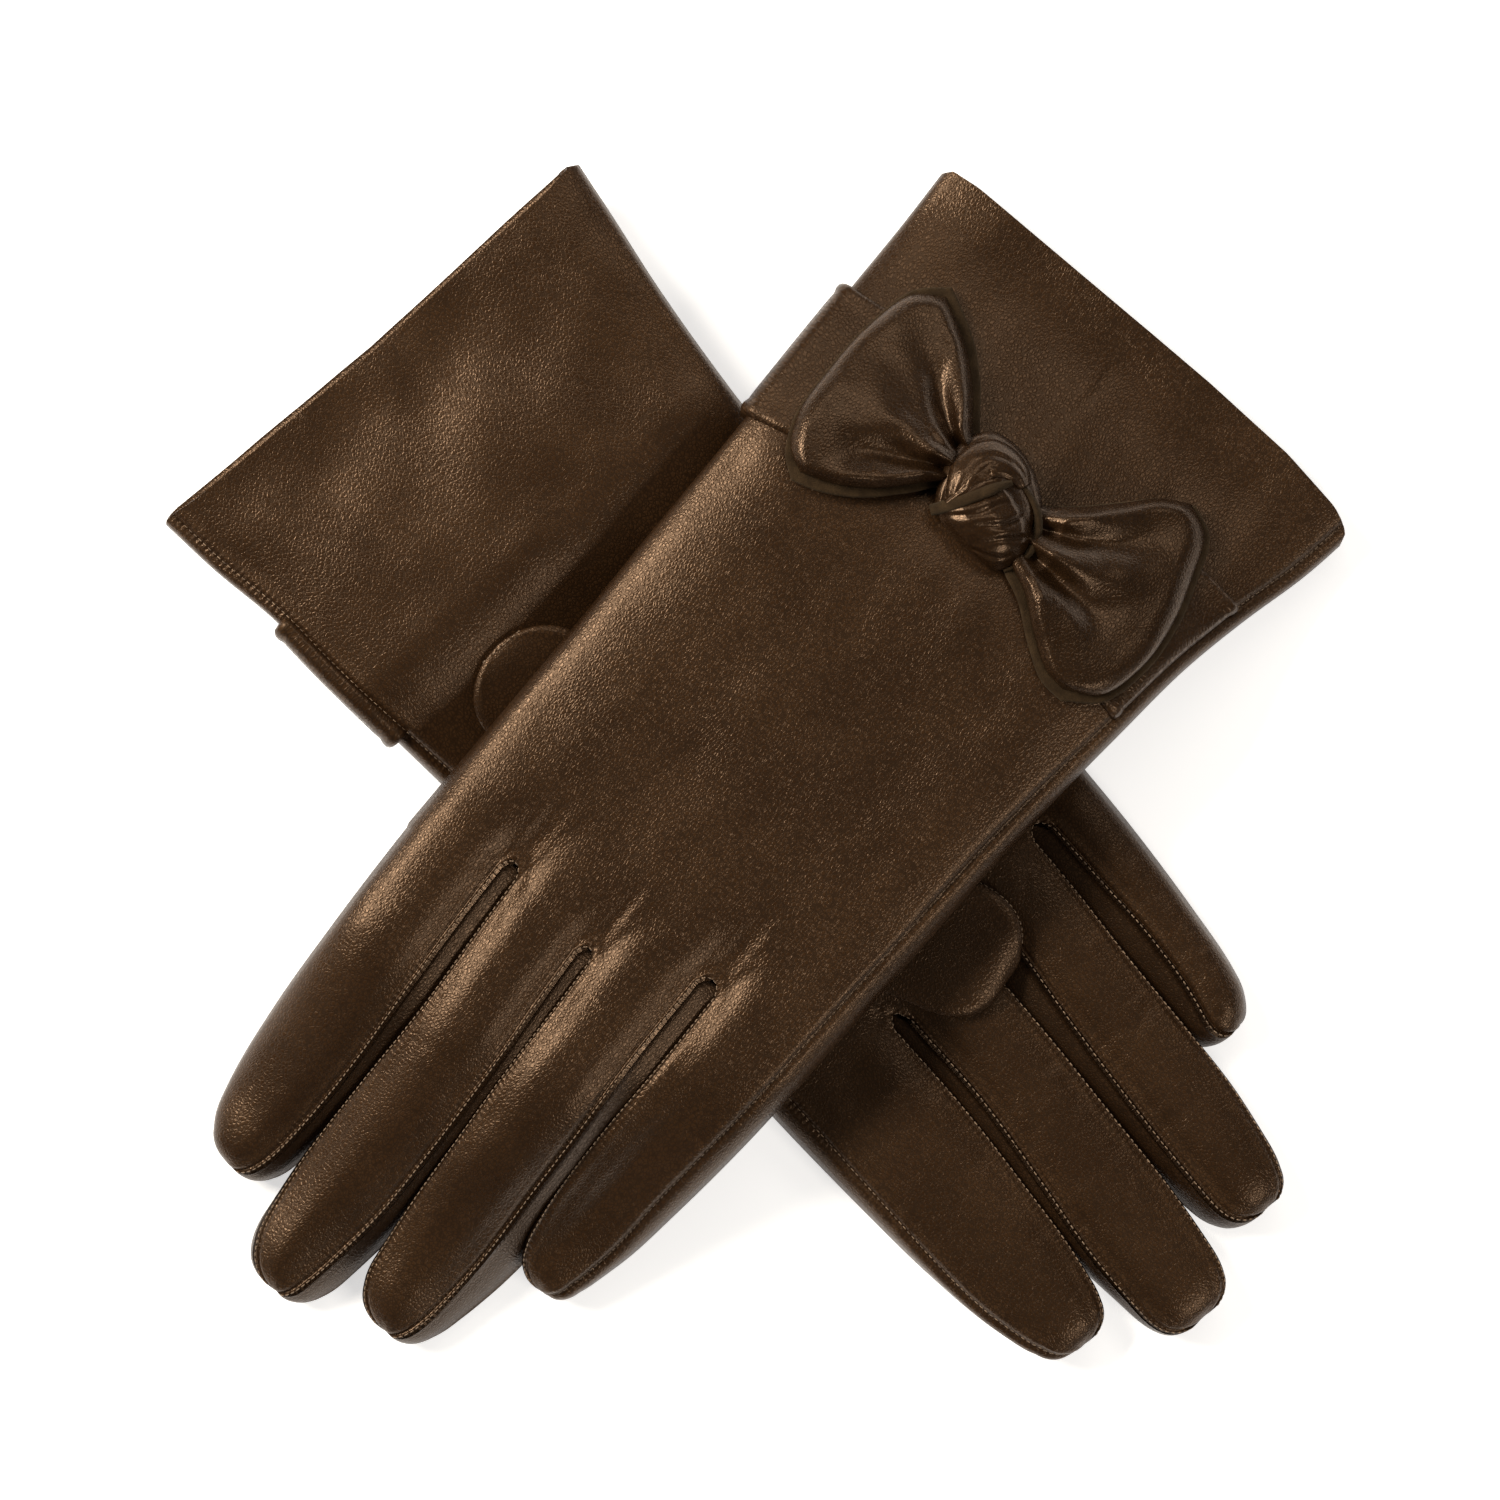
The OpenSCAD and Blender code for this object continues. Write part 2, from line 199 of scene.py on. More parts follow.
def to_world(hand, x, y, q):
    """Points of a glove's frame in the row frame, in millimetres."""
    x, y, q = np.broadcast_arrays(np.asarray(x, float), np.asarray(y, float), np.asarray(q, float))
    origin, along_x, along_y = AXES[hand]
    flat = origin + x[..., None] * along_x + y[..., None] * along_y
    flat[..., 2] = base_height(hand, x, y) + half_at(y) + back_up(hand) * q
    return flat


# ---------------- outlines of a glove

# Edges of each finger as (y, left, right): the back panel's, and the palm panel's
BACK_EDGES = [
    [(40, -48.3, -24), (60, -47.6, -24.5), (80, -46, -24.7), (92, -44.6, -25.5), (104, -41.8, -27.5)],
    [(40, -18.6, 0.3), (60, -19, -1), (80, -20.2, -2), (95, -21, -3.2), (112, -22, -4.6), (130, -21.4, -7)],
    [(40, 4.2, 21.8), (60, 3, 20.5), (80, 1.2, 19), (100, 0, 18.6), (118, -0.4, 17.8), (138, 1.5, 15)],
    [(40, 26.2, 45), (60, 25.5, 44.5), (80, 24.2, 43.5), (100, 22.8, 42), (114, 22.7, 40), (126, 23.4, 37)],
]
PALM_EDGES = [
    [(40, -48.3, -36), (60, -47.6, -36), (80, -46, -36), (92, -44.6, -34.8), (104, -41.8, -32)],
    [(40, -31, -15.5), (60, -30.6, -15), (80, -29.5, -13), (95, -29, -11.8), (112, -28, -10.8),
     (130, -25, -10.4)],
    [(40, -7.6, 11.2), (60, -7.5, 10.7), (80, -7.2, 10.6), (100, -6.3, 12.4), (118, -5.4, 14.4),
     (138, -3, 14.8)],
    [(40, 15, 45), (60, 15, 44.5), (80, 15, 43.5), (100, 16.2, 42), (114, 17.4, 40), (126, 19.5, 37)],
]
TIPS = {"left": [(-35.5, 108.8), (-17.2, 135), (5.0, 143), (28, 129.8)],
        "right": [(-36.5, 103.6), (-18.2, 134.4), (6.2, 142.4), (28, 130.8)]}
# Ends of the slits between the fingers as (x, y), and where the outer fingers start
CROTCHES = {BACK: [(-21.3, 38.5), (2.2, 49.5), (24.1, 46)], PALM: [(-33.5, 46), (-11.3, 56), (13, 56)]}
OUTER_STARTS = (44, 54)
SLIT_DEPTH = 2.6
# Share of the height that is lost where two fingers meet
SLIT_FALL = 0.34
# Silhouette of the hand as (y, x) on the little finger's side and on the thumb's side
SILHOUETTE = {
    "left": ([(-114, -62), (-100, -60), (-85, -56.4), (-70, -53.5), (-50, -51.6), (-20, -49.6), (10, -49),
              (40, -48.3)],
             [(-114, 47.6), (-100, 47), (-85, 46.7), (-70, 46.4), (-50, 45.8), (-20, 45.5), (10, 45),
              (40, 45)]),
    "right": ([(-114, -52), (-100, -50), (-85, -47.7), (-70, -46), (-50, -44.6), (-20, -45.6), (10, -47),
               (40, -48.3)],
              [(-114, 57.6), (-100, 56.2), (-85, 53.8), (-70, 53), (-50, 51.4), (-20, 49), (10, 46.4),
               (40, 45)]),
}
# How far inside the silhouette the side seam runs, as (y, inset)
LITTLE_INSET = table([(-114, 2.5), (-60, 3), (0, 4), (50, 4.6), (80, 4.3), (104, 2.2), (135, 2)])
THUMB_INSET = table([(-114, 2), (-60, 2), (-20, 3.4), (50, 5), (85, 3.6), (113, 1.8), (135, 1.6)])
CUFF_Y = {"left": -116.1, "right": -114.5}
# x of the hand's two sides where the fingers start
LITTLE_SIDE, THUMB_SIDE = -48, 45
# How far the cuff's edge turns in at its corners, as (share of the way to the thumb's side, mm)
CUFF_CORNERS = {
    "left": [(0, 8), (0.02, 5.6), (0.08, 2.8), (0.2, 0.8), (0.38, 0), (0.9, 0), (0.96, 0.8), (1, 2.6)],
    "right": [(0, 1.6), (0.04, 0.3), (0.2, 0.5), (0.5, 1.4), (0.8, 0.5), (0.93, 0), (0.97, 0.4), (1, 1.4)],
}

# ---------------- grids of skin points

# Rows up the hand, then up each finger's straight stretch and its rounded tip
HAND_STEPS = 120
FINGER_STRAIGHT = 62
FINGER_ROUND = 22
TIP_SHARE = 0.125
TIP_POWER = {"left": [2.4, 2.4, 2.4, 2.4], "right": [2.2, 2.7, 2.9, 2.7]}
# Rows past the slits' ends at which the finger's piece is cut from the hand's
CUT_STEP = 7
GAP_COLUMNS = 6
WALL_STEPS = 8
# Columns near a finger's edge, and from the outer edge to the side seam, as shares of the way
NEAR_EDGE = [0, 0.022, 0.05, 0.085, 0.13, 0.19, 0.26, 0.34, 0.42]
TO_SEAM = [0, 0.22, 0.45, 0.7, 0.87]
EDGE_COLUMNS = len(TO_SEAM)


def row_steps():
    """Steps along a finger from its crotch (0) to its tip (1), closer together at the tip."""
    straight = np.linspace(0, 1 - TIP_SHARE, FINGER_STRAIGHT, endpoint=False)[1:]
    angle = np.linspace(0, math.pi / 2, FINGER_ROUND)
    return np.concatenate([straight, 1 - TIP_SHARE + TIP_SHARE * np.sin(angle)])


def panel_columns():
    """Every column of a panel, from the little finger's edge to the thumb's: (kind, finger, place)."""
    shares = NEAR_EDGE + [0.5] + [1 - s for s in reversed(NEAR_EDGE)]
    found = [("edge", 0, t) for t in TO_SEAM]
    for k in range(4):
        found += [("finger", k, s) for s in shares]
        if k < 3:
            found += [("gap", k, s) for s in np.linspace(0, 1, GAP_COLUMNS + 1)[1:-1]]
    return found + [("edge", 3, t) for t in reversed(TO_SEAM)]


COLUMNS = panel_columns()
WIDE = len(COLUMNS)
STEPS = row_steps()
TALL = HAND_STEPS + 1 + len(STEPS)
CUT_ROW = HAND_STEPS + CUT_STEP


def finger_slice(k):
    """First and last column of finger k."""
    found = [j for j, c in enumerate(COLUMNS) if c[0] != "gap" and c[1] == k]
    return found[0], found[-1]


SLICES = [finger_slice(k) for k in range(4)]


class Panel:
    """Plan and height of every grid point of one panel, back or palm, of one glove."""

    def __init__(self, hand, side):
        self.hand, self.side = hand, side
        edges = BACK_EDGES if side == BACK else PALM_EDGES
        self.lefts = [table([(y, a) for y, a, b in e]) for e in edges]
        self.rights = [table([(y, b) for y, a, b in e]) for e in edges]
        self.hand_left, self.hand_right = (table(points) for points in SILHOUETTE[hand])
        self.plan()
        self.heights()

    def start_y(self, kind, k, s):
        """y of the line where the fingers start: an arc round the end of each slit."""
        ends = CROTCHES[self.side]
        if kind == "gap":
            return ends[k][1] + SLIT_DEPTH * abs(2 * s - 1) ** 2.5
        if kind == "edge":
            return OUTER_STARTS[0] if k == 0 else OUTER_STARTS[1]
        left = ends[k - 1][1] + SLIT_DEPTH if k > 0 else OUTER_STARTS[0]
        right = ends[k][1] + SLIT_DEPTH if k < 3 else OUTER_STARTS[1]
        return mix(left, right, ease(0, 1, s))

    def finger_x(self, kind, k, s, y):
        left, right = self.lefts[k](y), self.rights[k](y)
        if kind == "edge":
            return left + LITTLE_INSET(y) * s if k == 0 else right - THUMB_INSET(y) * s
        if k == 0:
            left = left + LITTLE_INSET(y)
        if k == 3:
            right = right - THUMB_INSET(y)
        return mix(left, right, s)

    def start_x(self, kind, k, s, y):
        if kind != "gap":
            return self.finger_x(kind, k, s, y)
        end_y = CROTCHES[self.side][k][1] + SLIT_DEPTH
        return mix(self.rights[k](end_y), self.lefts[k + 1](end_y), s)

    def side_seams(self, y):
        return self.hand_left(y) + LITTLE_INSET(y), self.hand_right(y) - THUMB_INSET(y)

    def plan(self):
        """x and y of every grid point, and how far each row of a fingertip is drawn in."""
        x, y = np.zeros((TALL, WIDE)), np.zeros((TALL, WIDE))
        shrink = np.ones((TALL, WIDE))
        steps = np.linspace(0, 1, HAND_STEPS + 1)
        rounding = np.clip((STEPS - 1 + TIP_SHARE) / TIP_SHARE, 0, 1)
        hand_rows, finger_rows = slice(0, HAND_STEPS + 1), slice(HAND_STEPS + 1, TALL)
        for j, (kind, k, s) in enumerate(COLUMNS):
            y1 = float(self.start_y(kind, k, s))
            x1 = float(self.start_x(kind, k, s, y1))
            across = (x1 - LITTLE_SIDE) / (THUMB_SIDE - LITTLE_SIDE)
            low = CUFF_Y[self.hand] + along(CUFF_CORNERS[self.hand], across)
            if self.side == PALM:
                low = low + 1.3 * ease(0, 0.12, np.minimum(across, 1 - across))
            yy = mix(low, y1, steps)
            left, right = self.side_seams(yy)
            if kind == "edge":
                xx = mix(self.hand_left(yy), left, s) if k == 0 else mix(self.hand_right(yy), right, s)
            else:
                left1, right1 = self.side_seams(y1)
                xx = mix(left, right, (x1 - left1) / (right1 - left1))
            x[hand_rows, j], y[hand_rows, j] = xx, yy
            if kind == "gap":
                x[finger_rows, j], y[finger_rows, j] = x1, y1
                continue
            tip_x, tip_y = TIPS[self.hand][k]
            power = TIP_POWER[self.hand][k]
            width = np.maximum(0, 1 - rounding**power) ** (1 / power)
            yy = mix(y1, tip_y, STEPS)
            x[finger_rows, j] = mix(tip_x, self.finger_x(kind, k, s, yy), width)
            y[finger_rows, j] = yy
            shrink[finger_rows, j] = width
        self.x, self.y, self.shrink = x, y, shrink

    def heights(self):
        """Height of the skin over the middle of the glove, before any wrinkles."""
        x, y = self.x, self.y
        finger = np.arange(TALL) > HAND_STEPS
        self.to_seam = np.full((TALL, WIDE), 99.0)
        shape = np.ones((TALL, WIDE))
        for j, (kind, k, s) in enumerate(COLUMNS):
            beyond = y[:, j] - y[HAND_STEPS, j]
            floor = SLIT_FALL * ease(-18, 1, beyond) * np.where(finger, 1 + 0.1 * ease(0, 25, beyond), 1)
            if kind == "gap":
                shape[:, j] = 1 - floor
                self.to_seam[:, j] = np.maximum(0, y[HAND_STEPS, j] - y[:, j])
                continue
            for neighbour, column in ((k > 0, SLICES[k][0]), (k < 3, SLICES[k][1])):
                if neighbour:
                    d = np.abs(x[:, j] - x[:, column])
                    shape[:, j] *= 1 - floor * bell(d, 3.4 * np.maximum(self.shrink[:, j], 0.15))
                    before = np.maximum(0, y[HAND_STEPS, column] - y[:, j])
                    self.to_seam[:, j] = np.minimum(self.to_seam[:, j], np.hypot(d, before))
        shrink = np.maximum(self.shrink, 0.05)
        on_finger = ease(5, 60, y)
        for k, column, on_hand, on_tip in ((0, 0, 14, 9.8), (3, -1, 18, 10.5)):
            radius = mix(on_hand, on_tip, on_finger) * shrink
            shape *= round_edge(np.abs(x - x[:, column, None]), radius, 2.1) ** self.near(k)
        tip = np.maximum(0, self.shrink) ** 0.9
        self.q = self.side * half_at(y) * shape * np.where(finger[:, None], tip, 1)
        column, k = (EDGE_COLUMNS, 0) if self.side == BACK else (WIDE - 1 - EDGE_COLUMNS, 3)
        d = np.abs(x - x[:, column, None])
        self.to_seam = np.where(self.near(k) > 0, np.minimum(self.to_seam, d), self.to_seam)

    def near(self, k):
        """1 where the outer edge beside finger k shapes the skin: all the hand, and that finger."""
        own = np.array([c[1] == k and c[0] != "gap" for c in COLUMNS])
        return np.where(np.arange(TALL)[:, None] <= HAND_STEPS, 1, own[None, :]).astype(float)


# ---------------- the skin of a glove

SEED = {"left": 11, "right": 47}
# Width of the strips between the fingers
WALL_WIDTH = 11.0


def creases(x, y, seed, length, pitch, sharp=2.0):
    """Thin folds that run along x, each about length long and pitch apart: from 0 to 1."""
    n = rough_noise(x / length, y / pitch, seed, 2)
    return np.clip(1 - np.abs(n) * sharp, 0, 1) ** 1.5


def wrinkles(hand, side, x, y, start):
    """How far the skin of a panel stands off its plain shape, in mm. The fingers start at y = start."""
    seed = SEED[hand] + (0 if side == BACK else 20)
    hand_part = 1 - ease(0, 14, y - start)
    out = 0.5 * hand_part * rough_noise(x / 27, y / 38, seed, 2)
    out = out + 0.22 * rough_noise(x / 11, y / 15, seed + 3, 2)
    # Drags that run from the end of each slit into the hand
    for number, (cx, cy) in enumerate(CROTCHES[side]):
        r = np.hypot(x - cx, y - cy)
        angle = np.arctan2(x - cx, cy - y)
        pull = bell(r - 8, 9) * ease(0.5, 3, r)
        out = out - 0.16 * pull * creases(r * 0.3, angle * 9, seed + 5 + number, 6, 3.4, 1.3)
    # Gathers beside the band, and soft folds of the wrist
    gather = bell(y + 46, 13) + bell(y + 92, 11)
    out = out + 0.2 * gather * noise(x / 4.6 + 0.05 * y, y / 26, seed + 9)
    # Soft folds of the cuff, and folds drawn in to the knot
    cuff = ease(-48, -66, y)
    out = out + 0.6 * cuff * rough_noise(x / 19, y / 23, seed + 30, 2) * ease(-116, -104, y)
    if side == BACK:
        r = np.hypot(x + 3, y + 70)
        out = out + 0.8 * bell(r - 23, 13) * noise(np.arctan2(x + 3, y + 70) * 1.9 + 3, r / 60, seed + 31)
    # Folds across the fingers
    folds = 0
    for knuckle, depth in ((68, 0.55), (88, 1.0), (108, 0.7)):
        folds = folds + depth * bell(y - knuckle, 7)
    strength = 0.3 if side == PALM else 0.16
    out = out - strength * (1 - hand_part) * folds * creases(x, y, seed + 12, 12, 3.4)
    return out


def seam_profile(d):
    """A seam lies in a groove beside a rolled edge, at distance d from the stitches."""
    return 0.28 * bell(d - 1.3, 0.8) - 0.42 * bell(d, 0.48)


def wall_path(k):
    """Grid places along the slit beside finger k: down that finger, round the slit's end, up the next."""
    right, left = SLICES[k][1], SLICES[k + 1][0]
    down = [(r, right) for r in range(TALL - 1, HAND_STEPS - 1, -1)]
    bottom = [(HAND_STEPS, c) for c in range(right + 1, left)]
    return down + bottom + [(r, left) for r in range(HAND_STEPS, TALL)]


def quads(grid, flip):
    a, b, c, d = grid[:-1, :-1], grid[:-1, 1:], grid[1:, 1:], grid[1:, :-1]
    return np.stack((a, d, c, b) if flip else (a, b, c, d), -1)


def ring_quads(ids):
    """Quads of a grid whose last column meets its first."""
    return quads(np.column_stack([ids, ids[:, 0]]), False).reshape(-1, 4)


def real_cells():
    """Which cells of a panel's grid are leather: in the finger rows, the gaps are open."""
    cells = np.ones((TALL - 1, WIDE - 1), bool)
    for k in range(3):
        cells[HAND_STEPS:, SLICES[k][1]:SLICES[k + 1][0]] = False
    return cells


class Glove:
    """Welded skin of one glove: points, normals and faces, from which each leather piece is cut."""

    def __init__(self, hand):
        self.hand = hand
        back, palm = Panel(hand, BACK), Panel(hand, PALM)
        self.panels = {BACK: back, PALM: palm}
        count = TALL * WIDE
        self.ids = {BACK: np.arange(count).reshape(TALL, WIDE),
                    PALM: count + np.arange(count).reshape(TALL, WIDE)}
        for edge in (0, -1):
            self.ids[PALM][:, edge] = self.ids[BACK][:, edge]
        found = []
        for side in (BACK, PALM):
            panel = self.panels[side]
            bump = wrinkles(hand, side, panel.x, panel.y, panel.y[HAND_STEPS])
            from_edges = [np.abs(panel.x - panel.x[:, edge, None]) for edge in (0, -1)]
            calm = ease(0, 4, from_edges[0]) * ease(0, 4, from_edges[1])
            bump = bump * calm * panel.shrink * ease(0, 2.5, panel.to_seam)
            bump = bump + seam_profile(panel.to_seam) * np.clip(panel.shrink * 3, 0, 1)
            seam = panel.to_seam + 1.4 * (1 - ease(0, 0.75, panel.shrink))
            found.append((panel.x, panel.y, panel.q, bump, seam, np.clip(panel.shrink * 1.4, 0.04, 1)))
        fields = [np.concatenate([v.ravel() for v in both]) for both in zip(*found)]
        self.walls = []
        for k in range(3):
            rows, columns = np.array(wall_path(k)).T
            top, low = (self.ids[side][rows, columns] for side in (BACK, PALM))
            inner = len(fields[0]) + np.arange(len(rows) * (WALL_STEPS - 1)).reshape(len(rows), -1)
            self.walls.append(np.column_stack([top, inner, low]))
            t = np.linspace(0, 1, WALL_STEPS + 1)[1:-1] + np.zeros((len(rows), 1))
            thin = back.shrink[rows, 0, None]
            arch = 4 * t * (1 - t)
            sag = -0.7 * arch * thin + 0.18 * arch * noise(rows[:, None] / 9 + 31 * k, t * 2, 5)
            wall = [mix(v[top, None], v[low, None], t) for v in fields[:3]]
            wall += [sag, WALL_WIDTH * np.minimum(t, 1 - t), np.clip(thin * 1.4, 0.04, 1) + 0 * t]
            fields = [np.concatenate([v, more.ravel()]) for v, more in zip(fields, wall)]
        x, y, q, lift, seam, share = fields
        self.rest, self.seam, self.y = np.stack([x, y, q], -1), seam, y
        self.thick = LEATHER * share
        self.faces = self.all_faces()
        points = to_world(hand, x, y, q)
        normals = self.normals_of(points)
        self.points = points + normals * lift[:, None]
        self.points[:, 2] = np.maximum(self.points[:, 2], FLOOR_GAP)
        self.normals = self.normals_of(self.points)

    def all_faces(self):
        """Quads by region: BACK and PALM for the panels, ("wall", k) for the strip beside finger k."""
        mirrored = self.hand == "right"
        found = {side: quads(self.ids[side], (side == PALM) != mirrored) for side in (BACK, PALM)}
        return found | {("wall", k): quads(self.walls[k], mirrored) for k in range(3)}

    def normals_of(self, points):
        """One normal for each point of the welded skin, from the quads that meet there."""
        faces = [self.faces[side][real_cells()].reshape(-1, 4) for side in (BACK, PALM)]
        faces += [self.faces["wall", k].reshape(-1, 4) for k in range(3)]
        faces = np.concatenate(faces)
        a, b, c, d = (points[faces[:, corner]] for corner in range(4))
        cross = np.cross(c - a, d - b)
        total = np.zeros_like(points)
        for corner in range(4):
            np.add.at(total, faces[:, corner], cross)
        # All the points at a fingertip share one normal
        for a, b in SLICES:
            tip = np.concatenate([self.ids[BACK][-1, a:b + 1], self.ids[PALM][-1, a:b + 1]])
            total[tip] = total[tip].sum(0)
        return unit(total)


def add_attributes(mesh, values):
    for name, array in values.items():
        array = np.asarray(array, np.float32)
        kind = "FLOAT_VECTOR" if array.ndim == 2 else "FLOAT"
        attribute = mesh.attributes.new(name, kind, "POINT")
        attribute.data.foreach_set("vector" if array.ndim == 2 else "value", array.ravel())


def new_object(name, points_mm, faces, material, normals=None, values=None):
    """Mesh object from points in mm. normals, where given, are one vector for each face corner."""
    if isinstance(faces, np.ndarray):
        faces = faces.tolist()
    mesh = bpy.data.meshes.new(name)
    mesh.from_pydata((np.asarray(points_mm) * MM).tolist(), [], faces)
    mesh.polygons.foreach_set("use_smooth", [True] * len(mesh.polygons))
    if values:
        add_attributes(mesh, values)
    if normals is not None:
        mesh.normals_split_custom_set(np.asarray(normals, float).tolist())
    mesh.materials.append(material)
    obj = bpy.data.objects.new(name, mesh)
    bpy.context.scene.collection.objects.link(obj)
    return obj


def shell(name, glove, faces, material):
    """A sheet of leather: the given quads, a second layer under them, and the cut edge between."""
    used, local = np.unique(faces, return_inverse=True)
    faces = local.reshape(-1, 4)
    n = len(used)
    normals = glove.normals[used]
    points = np.concatenate([glove.points[used], glove.points[used] - normals * glove.thick[used][:, None]])
    edges = dict.fromkeys((a, b) for corner in range(4)
                          for a, b in faces[:, [corner, (corner + 1) % 4]].tolist())
    rim = [[b, a, a + n, b + n] for a, b in edges if (b, a) not in edges]
    good, corner_normals = [], []
    for face in faces.tolist() + (faces[:, ::-1] + n).tolist() + rim:
        face = [v for i, v in enumerate(face) if np.linalg.norm(points[v] - points[face[i - 1]]) > 1e-5]
        if len(face) < 3:
            continue
        good.append(face)
        if max(face) < n:
            corner_normals += [normals[v] for v in face]
        elif min(face) >= n:
            corner_normals += [-normals[v - n] for v in face]
        else:
            p = points[face]
            corner_normals += [unit(np.cross(p[1] - p[0], p[2] - p[0]))] * len(face)
    values = {"rest": glove.rest, "seam": glove.seam, "run": glove.y}
    both = {key: np.concatenate([v[used]] * 2) for key, v in values.items()}
    return new_object(name, points, good, material, corner_normals, both)


# ---------------- materials

STITCH_PITCH = 1.3


class Nodes:
    """A material's nodes, added and linked by name."""

    def __init__(self, name):
        self.material = bpy.data.materials.new(name)
        self.material.use_nodes = True
        self.tree = self.material.node_tree
        self.shader = self.tree.nodes["Principled BSDF"]

    def put(self, node, key, value):
        if isinstance(value, bpy.types.NodeSocket):
            self.tree.links.new(value, node.inputs[key])
        else:
            node.inputs[key].default_value = value

    def add(self, kind, inputs, **settings):
        node = self.tree.nodes.new(kind)
        for key, value in settings.items():
            setattr(node, key, value)
        for key, value in inputs.items():
            self.put(node, key, value)
        return node

    def math(self, operation, a, b=0.0):
        return self.add("ShaderNodeMath", {0: a, 1: b}, operation=operation).outputs[0]

    def total(self, *parts):
        """Sum of sockets, each times its weight."""
        terms = [self.math("MULTIPLY", socket, weight) for socket, weight in parts]
        out = terms[0]
        for term in terms[1:]:
            out = self.math("ADD", out, term)
        return out

    def ramp(self, value, low, high, to_low=0.0, to_high=1.0):
        return self.add("ShaderNodeMapRange", {0: value, 1: low, 2: high, 3: to_low, 4: to_high},
                        interpolation_type="SMOOTHSTEP").outputs[0]

    def read(self, name):
        """A value stored on the mesh: rest is a place in mm, and the others are numbers."""
        node = self.add("ShaderNodeAttribute", {}, attribute_name=name)
        return node.outputs["Vector" if name == "rest" else "Fac"]

    def stretch(self, vector, x, y, z):
        return self.add("ShaderNodeMapping", {"Vector": vector, "Scale": (x, y, z)}).outputs[0]

    def noise(self, vector, scale, detail, rough):
        inputs = {"Vector": vector, "Scale": scale, "Detail": detail, "Roughness": rough}
        return self.add("ShaderNodeTexNoise", inputs).outputs[0]

    def cells(self, vector, scale, feature):
        node = self.add("ShaderNodeTexVoronoi", {"Vector": vector, "Scale": scale}, feature=feature)
        return node.outputs["Distance"]

    def mixed(self, factor, a, b):
        """Colour a, turned to colour b by factor."""
        node = self.add("ShaderNodeMix", {}, data_type="RGBA")
        for key, value in ((0, factor), (6, a), (7, b)):
            self.put(node, key, (*value, 1) if isinstance(value, tuple) else value)
        return node.outputs[2]

    def bump(self, height, distance=MM):
        return self.add("ShaderNodeBump", {"Height": height, "Distance": distance}).outputs[0]

    def shade(self, **inputs):
        """Fill the shader's inputs, named with _ for a space, and give the finished material."""
        for key, value in inputs.items():
            self.put(self.shader, key.replace("_", " "), value)
        return self.material


def scaled(colour, factor):
    return tuple(c * factor for c in colour)


def leather(name, dark, light, worn_and_highlight, rough, grain=1.0):
    """Dyed sheep leather: 0.5 mm pebbles and pulled stitches, painted shade in creases and seams, painted
    highlight on rolled edges.
    """
    n = Nodes(name)
    rest, seam, run = n.read("rest"), n.read("seam"), n.read("run")
    warp = n.add("ShaderNodeTexNoise", {"Vector": rest, "Scale": 0.9, "Detail": 2.0}).outputs["Color"]
    shift = n.add("ShaderNodeVectorMath", {0: warp, "Scale": 0.5}, operation="SCALE").outputs[0]
    bent = n.add("ShaderNodeVectorMath", {0: rest, 1: shift}, operation="ADD").outputs[0]
    pebble = n.ramp(n.cells(n.stretch(bent, 1.0, 0.72, 1.0), 1.6, "DISTANCE_TO_EDGE"), 0.0, 0.3)
    fine = n.cells(bent, 4.3, "F1")
    patches = n.noise(rest, 0.055, 3.0, 0.55)
    mottle = n.noise(rest, 0.4, 3.0, 0.6)
    # Pulled leather beside the stitches
    beat = n.math("SINE", n.math("MULTIPLY", run, 2 * math.pi / STITCH_PITCH))
    pucker = n.math("MULTIPLY", beat, n.ramp(seam, 0.1, 2.4, 1.0, 0.0))
    height = n.total((pebble, 0.038 * grain), (fine, -0.012 * grain), (pucker, 0.03), (mottle, 0.045))
    # Colour: painted shade in the grain's creases and the seam's groove, painted highlight on the seams'
    # rolled edges
    tone = n.mixed(n.ramp(patches, 0.35, 0.68), dark, light)
    tone = n.mixed(n.ramp(mottle, 0.35, 0.8, 0.0, 0.1), tone, worn_and_highlight)
    # Painted highlight: the rolled edge beside each seam is mixed towards the pale colour, patchy with the
    # mottle
    edge = n.math("MULTIPLY", n.ramp(seam, 0.4, 1.3), n.ramp(seam, 1.5, 3.0, 1.0, 0.0))
    tone = n.mixed(n.math("MULTIPLY", edge, n.ramp(mottle, 0.3, 0.7, 0.05, 0.3)), tone, worn_and_highlight)
    # Painted shade in the creases between the pebbles
    tone = n.mixed(n.ramp(pebble, 0.0, 0.8, 0.75, 0.0), tone, scaled(dark, 0.35))
    # Painted shade in the seam's groove
    tone = n.mixed(n.ramp(seam, 0.0, 0.5, 0.6, 0.0), tone, scaled(dark, 0.4))
    dull = n.ramp(pebble, 0.0, 0.8, rough + 0.12, rough)
    roughness = n.math("ADD", dull, n.math("MULTIPLY", patches, 0.05))
    return n.shade(Base_Color=tone, Roughness=roughness, Specular_IOR_Level=0.5,
                   Specular_Tint=(1.0, 0.67, 0.44, 1.0), Normal=n.bump(height))


def suede(name, dark, light):
    """The fleshy side of the leather: a short, soft nap."""
    n = Nodes(name)
    rest = n.read("rest")
    nap = n.noise(n.stretch(rest, 1.0, 0.4, 1.0), 5.0, 4.0, 0.7)
    brushed = n.noise(rest, 0.35, 3.0, 0.6)
    tone = n.mixed(n.ramp(brushed, 0.35, 0.7), dark, light)
    tone = n.mixed(n.ramp(nap, 0.3, 0.7, 0.0, 0.5), tone, scaled(dark, 0.5))
    return n.shade(Base_Color=tone, Roughness=0.95, Specular_IOR_Level=0.12, Sheen_Weight=0.12,
                   Sheen_Roughness=0.55, Sheen_Tint=(0.55, 0.45, 0.3, 1.0),
                   Normal=n.bump(n.total((nap, 0.16), (brushed, 0.2))))


